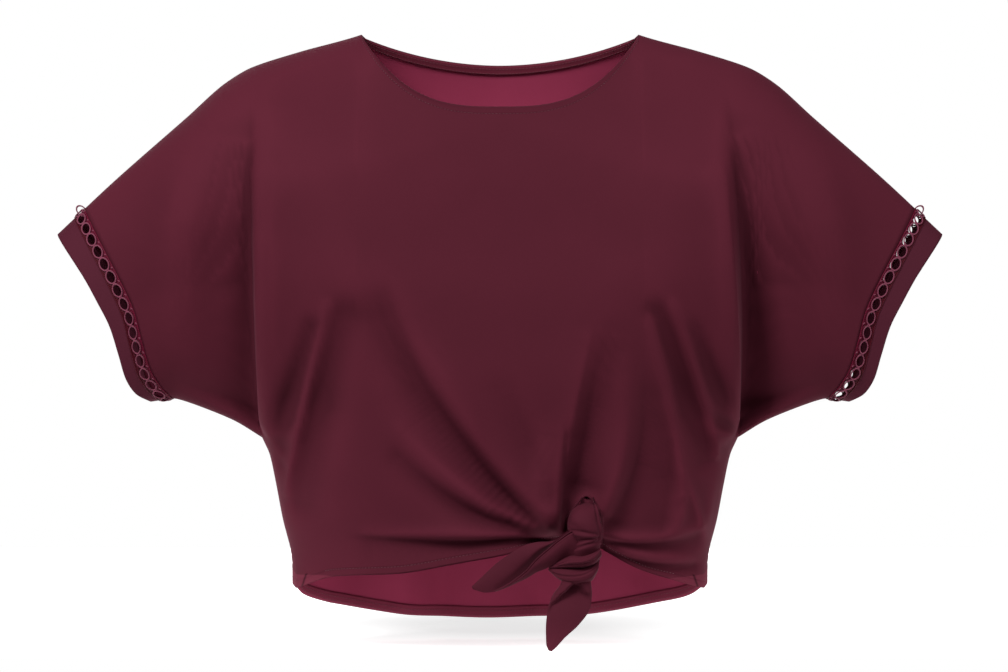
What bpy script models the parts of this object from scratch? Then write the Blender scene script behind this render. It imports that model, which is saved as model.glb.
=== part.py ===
"""Cropped blouse with cut-on sleeves, ring trim above the cuffs and a front hem knotted off centre.

The blouse is modelled as it is worn, hollow, with nobody in it. The origin lies midway between the two
points where the shoulder seams meet the neckline; +X is the viewer's right, -Y the front, +Z up. Left
and right are the viewer's.

Front and back are walls of cloth. Each is a grid of columns that run from the top edge (neckline,
shoulder, top of the sleeve) to the bottom edge (hem, side seam, underarm). A column's place in the front
view comes from the outline; its depth comes from how far it lies from the seams, so that the cloth
rounds off towards them, and the folds are added to that depth. Trim and cuffs carry the same surface on
to the sleeve's end.
"""

import math
from collections import namedtuple

import bmesh
import bpy
import numpy as np

# Cloth
WALL = 0.0012
SEAM_GAP = 0.0003
HEM_WALL = 0.0020
FACING_WALL = 0.0010
FACING_GAP = 0.0003
CUFF_WALL = 0.0016
TRIM_WALL = 0.0012
TIE_WALL = 0.0024

# Neckline
NECK_HALF = 0.1136
NECK_DROP_FRONT = 0.0617
NECK_DROP_BACK = 0.0209
NECK_POWER_FRONT = 3.0
NECK_POWER_BACK = 2.0
NECK_BAND = 0.0080

# Turned hem
HEM_TURN = 0.0085

# Where the sleeve, the trim and the cuff end: along the top of the sleeve as a distance out, and along
# the underarm as a share of the way from the cuff's edge to the armpit
SLEEVE_END = 0.3402
TRIM_START = 0.3405
TRIM_END = 0.3482
CUFF_START = 0.3485
CUFF_EDGE = 0.3627
UNDER_SLEEVE_END = 0.190
UNDER_TRIM_START = 0.184
UNDER_TRIM_END = 0.078
UNDER_CUFF_START = 0.073
CUFF_COLUMNS = 13
CUFF_ROWS = 2

# Ring trim
RINGS_PER_HALF = 17
RING_HOLE = 0.0034
RING_SIDES = 8
RING_RISE = 0.0005
# A hole takes up at most this share of the strip's half width, and normals are read this far apart
HOLE_SHARE = 0.36
NORMAL_STEP_SHARE = 0.1

# At the hem the back wraps round, so the front stops short of the side by this much
WRAP = 0.0040
WRAP_FROM = 0.405
WRAP_TO = 0.440
# A seam reads the cloth's way across it from this far inside it
SEAM_PROBE = 0.0005
# Places nearer than this are the same
SAME_PLACE = 1e-6

# Rows of the panels' grids: from the top edge to the armpits' level, and from there to the hem. Rows are
# spaced along a line of cloth that is first sampled in fine steps.
UPPER_ROWS = 13
LOWER_ROWS = 10
FINE_STEPS = 200

# The slit above the knot: the row that it starts at, and where the panel's columns meet its arch, as
# shares of the arch's length
SLIT_ROW = 4
ARCH_LEFT = 0.30
ARCH_TOP = 0.48
ARCH_RIGHT = 0.66

# Faces that meet at more than this are shaded with a crease
CREASE_DEGREES = 50.0

# Outlines of the front view, on the right side; the left mirrors them. Down is below the neck points.
Spot = namedtuple("Spot", "place out down")
SHOULDER = (
    Spot("over the neck", 0.0000, -0.0480),
    Spot("side of the neck", 0.0550, -0.0250),
    Spot("neck point", 0.1136, 0.0000),
    Spot("mid shoulder", 0.1648, 0.0131),
    Spot("shoulder", 0.2046, 0.0262),
    Spot("shoulder bone", 0.2280, 0.0408),
    Spot("upper arm", 0.2554, 0.0656),
    Spot("lower arm", 0.3153, 0.1181),
    Spot("cuff corner", 0.3627, 0.1625),
    Spot("past the cuff", 0.4200, 0.2160),
)
UNDERARM = (
    Spot("past the cuff", 0.3400, 0.3060),
    Spot("cuff", 0.2862, 0.2999),
    Spot("trim", 0.2763, 0.2985),
    Spot("sleeve", 0.2661, 0.2974),
    Spot("under the arm", 0.2460, 0.3038),
    Spot("near the armpit", 0.2173, 0.3157),
    Spot("armpit", 0.1950, 0.3292),
)
SIDE = (
    Spot("armpit", 0.1950, 0.3292),
    Spot("below the armpit", 0.1888, 0.3430),
    Spot("ribs", 0.1835, 0.3674),
    Spot("waist", 0.1780, 0.3960),
    Spot("above the hem", 0.1712, 0.4240),
    Spot("hem", 0.1690, 0.4510),
)
BELOW_HEM = Spot("below the hem", 0.1690, 0.6000)
HEM_LEFT = (
    Spot("side seam", -0.1650, 0.4510),
    Spot("beside the seam", -0.1360, 0.4400),
    Spot("left front", -0.0770, 0.4355),
    Spot("rising", -0.0350, 0.4278),
    Spot("centre", 0.0040, 0.4206),
    Spot("beside the knot", 0.0300, 0.4135),
    Spot("into the knot", 0.0520, 0.4080),
)
ARCH = (
    Spot("left foot", 0.0520, 0.4080),
    Spot("left side", 0.0530, 0.3935),
    Spot("left shoulder", 0.0590, 0.3810),
    Spot("top of the slit", 0.0676, 0.3738),
    Spot("right shoulder", 0.0768, 0.3830),
    Spot("right side", 0.0822, 0.3970),
    Spot("right foot", 0.0850, 0.4180),
)
HEM_RIGHT = (
    Spot("out of the knot", 0.0850, 0.4180),
    Spot("beside the knot", 0.1090, 0.4320),
    Spot("right front", 0.1390, 0.4425),
    Spot("side seam", 0.1650, 0.4510),
)
HEM_BACK = (
    Spot("left side seam", -0.1730, 0.4510),
    Spot("left side", -0.1690, 0.4545),
    Spot("left back", -0.1400, 0.4675),
    Spot("left of centre", -0.0800, 0.4795),
    Spot("centre back", 0.0000, 0.4826),
    Spot("right of centre", 0.0800, 0.4785),
    Spot("right back", 0.1400, 0.4660),
    Spot("right side", 0.1690, 0.4545),
    Spot("right side seam", 0.1730, 0.4510),
)
# How far the sleeve's end bows out from its straight chord, from the top to the underarm
Bow = namedtuple("Bow", "share out")
CUFF_BOW = (
    Bow(0.00, 0.0000),
    Bow(0.18, -0.0024),
    Bow(0.38, -0.0036),
    Bow(0.58, -0.0010),
    Bow(0.78, 0.0026),
    Bow(0.90, 0.0022),
    Bow(1.00, 0.0000),
)
BOW_FROM = 0.260

# Depth of the filled cloth in front of and behind the seams, at heights down the centre
Depth = namedtuple("Depth", "down front back")
TORSO_DEPTH = (
    Depth(0.00, 0.060, 0.054),
    Depth(0.06, 0.074, 0.070),
    Depth(0.12, 0.091, 0.086),
    Depth(0.20, 0.107, 0.096),
    Depth(0.28, 0.114, 0.094),
    Depth(0.36, 0.112, 0.089),
    Depth(0.45, 0.107, 0.090),
    Depth(0.50, 0.107, 0.092),
)
# Depth and edge radii of the cloth, by how far along the sleeve a point lies
Reach = namedtuple("Reach", "along torso depth top_round under_round")
SLEEVE_SHAPE = (
    Reach(0.12, 1.00, 0.070, 0.112, 0.172),
    Reach(0.17, 0.70, 0.070, 0.104, 0.155),
    Reach(0.22, 0.25, 0.064, 0.092, 0.115),
    Reach(0.26, 0.04, 0.056, 0.085, 0.088),
    Reach(0.30, 0.00, 0.046, 0.080, 0.080),
    Reach(0.35, 0.00, 0.037, 0.078, 0.078),
)
SLEEVE_SLANT = 0.30
SLEEVE_MIDDLE = 0.20
TORSO_ONLY_FROM = 0.290
TORSO_ONLY_TO = 0.360
WAIST_ROUND = 0.170
TABLE_SPREAD = 0.030
TABLE_SAMPLES = 9
TABLE_TAPER = 0.8

# Folds: a soft ridge or trough along a bent line in the front view. Each has the place of its start, bend
# and end, as out and down; how far it rises there, below 0 for a trough; and its width on the left and the
# right as one looks along the line.
Fold = namedtuple("Fold", "name x0 d0 x1 d1 x2 d2 rise_start rise_mid rise_end left right")
FRONT_FOLDS = (
    Fold("left sleeve trough", -0.212, 0.105, -0.212, 0.220, -0.204, 0.325,
         -0.002, -0.013, -0.010, 0.012, 0.028),
    Fold("left sleeve ridge", -0.236, 0.070, -0.256, 0.150, -0.252, 0.240,
         0.001, 0.005, 0.001, 0.018, 0.018),
    Fold("right sleeve trough", 0.196, 0.090, 0.214, 0.220, 0.204, 0.320,
         -0.003, -0.015, -0.012, 0.028, 0.012),
    Fold("right sleeve ridge", 0.236, 0.070, 0.262, 0.150, 0.262, 0.240,
         0.001, 0.004, 0.001, 0.018, 0.018),
    Fold("left side crease", -0.140, 0.222, -0.165, 0.300, -0.180, 0.375,
         0.001, 0.005, 0.003, 0.014, 0.010),
    Fold("deep trough to the knot", -0.074, 0.228, -0.020, 0.345, 0.046, 0.404,
         -0.001, -0.010, -0.009, 0.018, 0.013),
    Fold("ridge under the deep trough", -0.066, 0.318, -0.010, 0.374, 0.040, 0.402,
         0.001, 0.005, 0.003, 0.011, 0.011),
    Fold("level fold", -0.090, 0.410, -0.020, 0.412, 0.042, 0.409,
         -0.001, -0.005, -0.006, 0.010, 0.010),
    Fold("trough above the knot", 0.092, 0.230, 0.070, 0.310, 0.060, 0.366,
         -0.001, -0.009, -0.007, 0.015, 0.013),
    Fold("ridge above the knot", 0.112, 0.250, 0.092, 0.320, 0.076, 0.374,
         0.001, 0.003, 0.003, 0.014, 0.014),
    Fold("right bust ridge", 0.122, 0.234, 0.140, 0.310, 0.150, 0.385,
         0.001, 0.006, 0.002, 0.012, 0.010),
    Fold("right bust trough", 0.133, 0.232, 0.158, 0.300, 0.168, 0.365,
         -0.001, -0.007, -0.002, 0.010, 0.011),
    Fold("trough right of the knot", 0.120, 0.335, 0.108, 0.375, 0.092, 0.398,
         -0.001, -0.008, -0.007, 0.013, 0.012),
    Fold("lower trough to the right", 0.092, 0.410, 0.120, 0.424, 0.158, 0.430,
         -0.007, -0.006, -0.001, 0.010, 0.009),
)
BACK_FOLDS = (
    Fold("left sleeve trough", -0.210, 0.105, -0.212, 0.220, -0.202, 0.320,
         -0.002, -0.012, -0.009, 0.014, 0.028),
    Fold("right sleeve trough", 0.206, 0.100, 0.213, 0.220, 0.203, 0.320,
         -0.002, -0.013, -0.009, 0.028, 0.014),
    Fold("left blade fold", -0.120, 0.180, -0.132, 0.300, -0.120, 0.440,
         0.001, 0.005, 0.003, 0.018, 0.016),
    Fold("left back trough", -0.090, 0.220, -0.088, 0.340, -0.072, 0.470,
         -0.001, -0.005, -0.006, 0.018, 0.018),
    Fold("centre back fold", -0.018, 0.260, -0.012, 0.360, -0.020, 0.478,
         0.001, 0.003, 0.005, 0.020, 0.020),
    Fold("right back trough", 0.060, 0.230, 0.066, 0.350, 0.052, 0.470,
         -0.001, -0.005, -0.006, 0.018, 0.020),
    Fold("right blade fold", 0.116, 0.170, 0.128, 0.290, 0.118, 0.440,
         0.001, 0.005, 0.003, 0.016, 0.018),
)
FOLD_STEPS = 40
FOLD_END_REACH = 0.6
# Folds die away over this distance towards a seam
FOLD_FADE = 0.016
# The cloth sinks towards the knot
KNOT_CENTRE = Spot("knot", 0.0690, 0.4020)
KNOT_PINCH = 0.0080
KNOT_PINCH_REACH = 0.0260

# Columns of a panel's body: the stretch of top edge that each run of columns starts from, and the share
# of the half width that it comes to at the armpits' level and at the hem. An ease above 1 bunches the
# columns towards the run's first one, below -1 towards its last one.
Run = namedtuple("Run", "place columns top_from top_to arm_from arm_to hem_from hem_to ease")
ARMHOLE = 0.2250
SLEEVE_COLUMNS = 7
FRONT_RUNS = (
    Run("left shoulder", 7, -ARMHOLE, -NECK_HALF, -1.000, -0.600, -1.000, -0.600, 1.5),
    Run("left front", 13, -NECK_HALF, 0.0460, -0.600, 0.308, -0.600, 0.308, 1.0),
    Run("slit", 2, 0.0460, 0.0740, 0.308, 0.405, 0.308, 0.503, 1.0),
    Run("right front", 4, 0.0740, NECK_HALF, 0.405, 0.600, 0.503, 0.680, 1.0),
    Run("right shoulder", 7, NECK_HALF, ARMHOLE, 0.600, 1.000, 0.680, 1.000, -1.5),
)
BACK_RUNS = (
    Run("left shoulder", 7, -ARMHOLE, -NECK_HALF, -1.000, -0.600, -1.000, -0.600, 1.5),
    Run("back", 11, -NECK_HALF, NECK_HALF, -0.600, 0.600, -0.600, 0.600, 1.0),
    Run("right shoulder", 7, NECK_HALF, ARMHOLE, 0.600, 1.000, 0.600, 1.000, -1.5),
)
ARM_LEVEL_RISE = 0.0450

# The knot: sections of each piece, each given by its two edges in the front view, how far its middle
# stands forward of the knot's plane, and how far it reaches back
Section = namedtuple("Section", "place x0 d0 x1 d1 front back")
KNOT_LOOP = (
    Section("under the slit", 0.0625, 0.3812, 0.0735, 0.3806, 0.0035, 0.0020),
    Section("crown", 0.0568, 0.3868, 0.0785, 0.3858, 0.0095, 0.0040),
    Section("widest", 0.0534, 0.3940, 0.0808, 0.3930, 0.0135, 0.0050),
    Section("belly", 0.0540, 0.4015, 0.0817, 0.4000, 0.0145, 0.0050),
    Section("narrowing", 0.0568, 0.4090, 0.0810, 0.4065, 0.0130, 0.0050),
    Section("over the wrap", 0.0572, 0.4150, 0.0800, 0.4120, 0.0115, 0.0045),
    Section("tucked in", 0.0580, 0.4196, 0.0782, 0.4158, 0.0080, 0.0035),
)
KNOT_UPPER_WRAP = (
    Section("left end", 0.0400, 0.4290, 0.0405, 0.4308, 0.0020, 0.0015),
    Section("left", 0.0480, 0.4248, 0.0485, 0.4308, 0.0070, 0.0030),
    Section("under the loop", 0.0565, 0.4218, 0.0572, 0.4306, 0.0120, 0.0045),
    Section("middle", 0.0650, 0.4206, 0.0664, 0.4302, 0.0140, 0.0050),
    Section("right", 0.0732, 0.4184, 0.0755, 0.4276, 0.0125, 0.0045),
    Section("right end", 0.0788, 0.4162, 0.0812, 0.4212, 0.0060, 0.0030),
)
KNOT_LOWER_WRAP = (
    Section("left end", 0.0388, 0.4316, 0.0396, 0.4334, 0.0015, 0.0015),
    Section("left", 0.0468, 0.4314, 0.0478, 0.4398, 0.0065, 0.0030),
    Section("under", 0.0562, 0.4313, 0.0570, 0.4424, 0.0105, 0.0045),
    Section("middle", 0.0655, 0.4310, 0.0660, 0.4426, 0.0110, 0.0050),
    Section("right", 0.0742, 0.4289, 0.0735, 0.4404, 0.0095, 0.0045),
    Section("right end", 0.0800, 0.4242, 0.0786, 0.4320, 0.0045, 0.0025),
)
LEFT_TIE = (
    Section("at the knot", 0.0525, 0.4040, 0.0500, 0.4210, 0.0040, 0.0),
    Section("near the knot", 0.0440, 0.4078, 0.0395, 0.4285, 0.0060, 0.0),
    Section("shoulder", 0.0300, 0.4098, 0.0290, 0.4330, 0.0070, 0.0),
    Section("full width", 0.0170, 0.4137, 0.0185, 0.4400, 0.0060, 0.0),
    Section("past half way", 0.0088, 0.4195, 0.0080, 0.4455, 0.0045, 0.0),
    Section("tapering", -0.0022, 0.4267, -0.0030, 0.4490, 0.0030, 0.0),
    Section("near the tip", -0.0123, 0.4359, -0.0125, 0.4499, 0.0018, 0.0),
    Section("tip", -0.0222, 0.4450, -0.0214, 0.4474, 0.0005, 0.0),
)
LOWER_TIE = (
    Section("under the knot", 0.0485, 0.4430, 0.0722, 0.4432, 0.0050, 0.0),
    Section("spreading", 0.0433, 0.4490, 0.0735, 0.4505, 0.0060, 0.0),
    Section("full width", 0.0397, 0.4575, 0.0722, 0.4600, 0.0050, 0.0),
    Section("lower", 0.0378, 0.4663, 0.0690, 0.4672, 0.0040, 0.0),
    Section("tapering", 0.0367, 0.4760, 0.0610, 0.4774, 0.0030, 0.0),
    Section("near the tip", 0.0367, 0.4850, 0.0515, 0.4862, 0.0018, 0.0),
    Section("almost there", 0.0372, 0.4924, 0.0445, 0.4940, 0.0008, 0.0),
    Section("tip", 0.0388, 0.4962, 0.0412, 0.4968, 0.0003, 0.0),
)
KNOT_SIDES = 14
KNOT_STEPS = 2
TIE_COLUMNS = 7
TIE_STEPS = 2
LEFT_TIE_RIDGE = 0.62
LOWER_TIE_RIDGE = 0.35
TIE_RIDGE_POWER = 1.3
TIE_SET_BACK = 0.0020
TIE_CLEARANCE = 0.0006


def smooth_step(value, low, high):
    """0 up to low and 1 from high, with a smooth rise between them."""
    share = np.clip((np.asarray(value, float) - low) / (high - low), 0.0, 1.0)
    return share * share * (3.0 - 2.0 * share)


def smooth_line(points, per_span=12):
    """A smooth line through the points, with each span cut into this many steps."""
    points = np.asarray(points, float)
    padded = np.vstack([2 * points[0] - points[1], points, 2 * points[-1] - points[-2]])
    line = []
    for i in range(1, len(padded) - 2):
        before, start, end, after = padded[i - 1 : i + 3]
        span = np.linalg.norm(end - start)
        pull_in = (end - before) / 2 * min(1.0, span / max(np.linalg.norm(start - before), 1e-9))
        pull_out = (after - start) / 2 * min(1.0, span / max(np.linalg.norm(after - end), 1e-9))
        for share in np.linspace(0.0, 1.0, per_span, endpoint=False):
            square, cube = share**2, share**3
            line.append(
                (2 * cube - 3 * square + 1) * start
                + (cube - 2 * square + share) * pull_in
                + (3 * square - 2 * cube) * end
                + (cube - square) * pull_out
            )
    line.append(points[-1])
    return np.array(line)


def outline(spots):
    """The smooth line through the spots, as (x, z) points."""
    return smooth_line([(spot.out, -spot.down) for spot in spots])


def lengths_along(line):
    """The length of the line up to each of its points."""
    return np.concatenate([[0.0], np.cumsum(np.linalg.norm(np.diff(line, axis=0), axis=1))])


def along(line, shares):
    """Points at these shares of the line's length."""
    run = lengths_along(line)
    at = np.asarray(shares) * run[-1]
    return np.stack([np.interp(at, run, line[:, k]) for k in range(line.shape[1])], axis=-1)


def distance_to(line, x, z):
    """How far each point lies from the line, in the front view."""
    start, step = line[:-1], np.diff(line, axis=0)
    off_x, off_z = x[..., None] - start[:, 0], z[..., None] - start[:, 1]
    share = np.clip((off_x * step[:, 0] + off_z * step[:, 1]) / (step**2).sum(1), 0.0, 1.0)
    return np.hypot(off_x - share * step[:, 0], off_z - share * step[:, 1]).min(-1)


MIRROR = np.array([-1.0, 1.0])
SHOULDER_LINE = outline(SHOULDER)
SIDE_LINE = outline(SIDE)
CUFF_TO_ARMPIT = outline(UNDERARM[1:])
TOP_SEAM = np.vstack([(SHOULDER_LINE * MIRROR)[::-1][:-1], SHOULDER_LINE])
LOW_SEAM = np.vstack([outline(UNDERARM), SIDE_LINE[1:], outline((SIDE[-1], BELOW_HEM))[1:]])
BOW_LINE = smooth_line(CUFF_BOW)
ARCH_LINE = outline(ARCH)
FRONT_HEM = np.vstack([outline(HEM_LEFT), outline(HEM_RIGHT)])
BACK_HEM = outline(HEM_BACK)


def top_edge(x, drop, power):
    """Height of a panel's top edge: the neckline, and outside it the shoulder and the top of the sleeve."""
    shoulder = np.interp(np.abs(x), SHOULDER_LINE[:, 0], SHOULDER_LINE[:, 1])
    neckline = -drop * (1.0 - (np.abs(x) / NECK_HALF) ** power)
    return np.where(np.abs(x) < NECK_HALF, neckline, shoulder)


def table_value(rows, key, field, at):
    """A table's value, averaged over a short stretch so that its corners are round."""
    shifts = np.linspace(-1.0, 1.0, TABLE_SAMPLES)
    weights = 1.0 - TABLE_TAPER * np.abs(shifts)
    keys = [getattr(row, key) for row in rows]
    values = [getattr(row, field) for row in rows]
    total = 0.0
    for shift, weight in zip(shifts, weights):
        total = total + weight * np.interp(at + shift * TABLE_SPREAD, keys, values)
    return total / weights.sum()


def rounding(distance, radius):
    """0 at a seam and 1 at its radius or beyond, as a quarter of an ellipse."""
    short = 1.0 - np.clip(distance / radius, 0.0, 1.0)
    return np.sqrt(1.0 - short**2)


def fold_rise(fold, x, z):
    """How much one fold lifts the cloth at each point of the front view."""
    shares = np.linspace(0.0, 1.0, FOLD_STEPS + 1)[:, None]
    start, bend, end = np.array([(fold.x0, -fold.d0), (fold.x1, -fold.d1), (fold.x2, -fold.d2)])
    line = (1 - shares) ** 2 * start + 2 * shares * (1 - shares) * bend + shares**2 * end
    gap = np.stack([x[..., None] - line[:, 0], z[..., None] - line[:, 1]], axis=-1)
    nearest = (gap**2).sum(-1).argmin(-1)
    off = np.take_along_axis(gap, nearest[..., None, None], axis=-2)[..., 0, :]
    heading = np.gradient(line, axis=0)
    heading = (heading / np.linalg.norm(heading, axis=-1, keepdims=True))[nearest]
    side = heading[..., 0] * off[..., 1] - heading[..., 1] * off[..., 0]
    past = (heading * off).sum(-1)
    width = np.where(side > 0, fold.left, fold.right)
    rise = np.interp(shares[nearest, 0], [0.0, 0.5, 1.0], [fold.rise_start, fold.rise_mid, fold.rise_end])
    end_reach = FOLD_END_REACH * (fold.left + fold.right)
    return rise * np.exp(-((side / width) ** 2) - (past / end_reach) ** 2)


def seam_distances(x, z):
    """How far points lie from the seam along the top, and from the nearer of the two low seams."""
    right = distance_to(LOW_SEAM, x, z)
    left = distance_to(LOW_SEAM * MIRROR, x, z)
    return distance_to(TOP_SEAM, x, z), np.minimum(left, right)


def cloth_depth(x, z, side):
    """How far the cloth stands from the seams' plane at points of the front view; side is front or back."""
    reach = np.abs(x) + SLEEVE_SLANT * (-z - SLEEVE_MIDDLE)
    torso_only = smooth_step(-z, TORSO_ONLY_FROM, TORSO_ONLY_TO)
    torso_share = np.maximum(table_value(SLEEVE_SHAPE, "along", "torso", reach), torso_only)
    torso = table_value(TORSO_DEPTH, "down", side, -z)
    sleeve = table_value(SLEEVE_SHAPE, "along", "depth", reach)
    under_round = table_value(SLEEVE_SHAPE, "along", "under_round", reach)
    under_round = under_round + (WAIST_ROUND - under_round) * torso_only
    top_round = table_value(SLEEVE_SHAPE, "along", "top_round", reach)
    from_top, from_low = seam_distances(x, z)
    full = torso_share * torso + (1.0 - torso_share) * sleeve
    depth = full * rounding(from_top, top_round) * rounding(from_low, under_round)
    fade = smooth_step(np.minimum(from_top, from_low), 0.0, FOLD_FADE)
    if side == "front":
        knot_distance = np.hypot(x - KNOT_CENTRE.out, z + KNOT_CENTRE.down)
        depth = depth - KNOT_PINCH * np.exp(-((knot_distance / KNOT_PINCH_REACH) ** 2))
    folds = FRONT_FOLDS if side == "front" else BACK_FOLDS
    return depth + fade * sum(fold_rise(fold, x, z) for fold in folds)


def front_point(flat):
    """Front-view points of the front set out in depth."""
    x, z = flat[..., 0], flat[..., 1]
    return np.stack([x, -cloth_depth(x, z, "front") - SEAM_GAP / 2, z], axis=-1)


def back_point(flat):
    """Front-view points of the back set out in depth; past the side they come round to the front."""
    x, z = flat[..., 0], flat[..., 1]
    side = np.interp(-z, -SIDE_LINE[:, 1], SIDE_LINE[:, 0])
    over = np.where(-z > WRAP_FROM, np.maximum(np.abs(x) - side, 0.0), 0.0)
    x = x - 2.0 * over * np.sign(x)
    depth = np.where(over > 0.0, -cloth_depth(x, z, "front"), cloth_depth(x, z, "back"))
    return np.stack([x, depth + SEAM_GAP / 2, z], axis=-1)


def eased(steps, ease):
    """Shares from 0 to 1, bunched towards 0 by an ease above 1 and towards 1 by one below -1."""
    shares = np.linspace(0.0, 1.0, steps + 1)
    return shares**ease if ease > 0 else 1.0 - (1.0 - shares) ** -ease


def even_down(line, steps, end_open):
    """Shares of a finely sampled line of cloth, even along it after the neck band's depth at an open end."""
    run = lengths_along(line)
    fine = np.linspace(0.0, 1.0, len(line))
    if end_open:
        wanted = np.concatenate([[0.0], np.linspace(NECK_BAND, run[-1], steps)])
    else:
        wanted = np.linspace(0.0, run[-1], steps + 1)
    return np.interp(wanted, run, fine)


def half_width(z, wrap):
    """Half the panel's width at heights below the armpits, up to its side seam."""
    side = np.interp(-z, -SIDE_LINE[:, 1], SIDE_LINE[:, 0])
    return side + wrap * smooth_step(-z, WRAP_FROM, WRAP_TO)


def bunched():
    """Shares down a line, close together at its two ends, where the cloth turns in to the seams."""
    return (1.0 - np.cos(np.linspace(0.0, math.pi, FINE_STEPS + 1))) / 2


def column_line(top, low, shares, bow_weight):
    """Points down a column in the front view, bowed as the sleeve's end is."""
    chord = low - top
    side = 1.0 if top[0] > 0 else -1.0
    outward = side * np.array([-chord[1], chord[0]]) / np.linalg.norm(chord)
    bow = np.interp(shares, BOW_LINE[:, 0], BOW_LINE[:, 1]) * bow_weight
    return top + chord * shares[:, None] + outward * bow[:, None]


def bow_weight_at(out):
    """How much of the sleeve end's bow a column has, by how far out its top lies."""
    return float(smooth_step(abs(out), BOW_FROM, TRIM_END))


def sleeve_line(side, top_out, under_share):
    """The two ends of a line across the sleeve, from its top to its underarm."""
    top = np.array([top_out, np.interp(top_out, SHOULDER_LINE[:, 0], SHOULDER_LINE[:, 1])])
    low = along(CUFF_TO_ARMPIT, [under_share])[0]
    turn = np.array([side, 1.0])
    return top * turn, low * turn


def upper_column(top, low, steps, top_open, place):
    """The rows of a column above the armpits' level, as front-view points."""
    weight = bow_weight_at(top[0])
    fine = bunched()
    line = column_line(top, low, fine, weight)
    shares = even_down(place(line), steps, top_open)
    return column_line(top, low, np.interp(shares, np.linspace(0.0, 1.0, len(fine)), fine), weight)


def body_columns(runs, drop, power):
    """The top point of each body column, and its share of the half width at the armpits and at the hem."""
    tops, arms, hems = [], [], []
    for number, run in enumerate(runs):
        skip = 1 if number else 0
        x = np.linspace(run.top_from, run.top_to, run.columns + 1)[skip:]
        shares = eased(run.columns, run.ease)[skip:]
        tops.append(np.stack([x, top_edge(x, drop, power)], axis=1))
        arms.append(run.arm_from + (run.arm_to - run.arm_from) * shares)
        hems.append(run.hem_from + (run.hem_to - run.hem_from) * shares)
    return np.vstack(tops), np.concatenate(arms), np.concatenate(hems)


def lower_column(arm, hem, hem_line, wrap):
    """The rows of a column from the armpits' level to the hem, as front-view points."""
    start = -SIDE[0].down + ARM_LEVEL_RISE * (1.0 - arm**2)
    end_x = hem * half_width(np.array(-SIDE[-1].down), wrap)
    end = np.interp(end_x, hem_line[:, 0], hem_line[:, 1])
    length = start - end
    shares = np.append(np.linspace(0.0, 1.0 - HEM_TURN / length, LOWER_ROWS), 1.0)
    z = start - length * shares
    return np.stack([(arm + (hem - arm) * shares) * half_width(z, wrap), z], axis=-1)


def slit_edges(columns):
    """Leads the three columns at the slit round its arch."""
    left, middle, right = columns
    shares = np.linspace(0.0, 1.0, SLIT_ROW + 1)[:, None]
    targets = along(ARCH_LINE, [ARCH_LEFT, ARCH_TOP, ARCH_RIGHT])
    for column, target in zip(columns, targets):
        column[: SLIT_ROW + 1] = column[0] + (target - column[0]) * shares
    down = np.linspace(0.0, 1.0, LOWER_ROWS - SLIT_ROW + 1)
    left[SLIT_ROW:] = along(ARCH_LINE, ARCH_LEFT * (1.0 - down))
    right[SLIT_ROW:] = along(ARCH_LINE, ARCH_RIGHT + (1.0 - ARCH_RIGHT) * down)
    feet = (left[-1] + right[-1]) / 2
    middle[SLIT_ROW:] = middle[SLIT_ROW] + (feet - middle[SLIT_ROW]) * down[:, None]


def sleeve_column(side, step, place):
    """A column of the sleeve, from its top to its underarm; below that its rows stay at the underarm."""
    share = step / SLEEVE_COLUMNS
    top_out = SLEEVE_END + (ARMHOLE - SLEEVE_END) * share
    under_share = UNDER_SLEEVE_END + (1.0 - UNDER_SLEEVE_END) * share
    upper = upper_column(*sleeve_line(side, top_out, under_share), UPPER_ROWS, False, place)
    return np.vstack([upper, np.repeat(upper[-1:], LOWER_ROWS, axis=0)])


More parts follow.
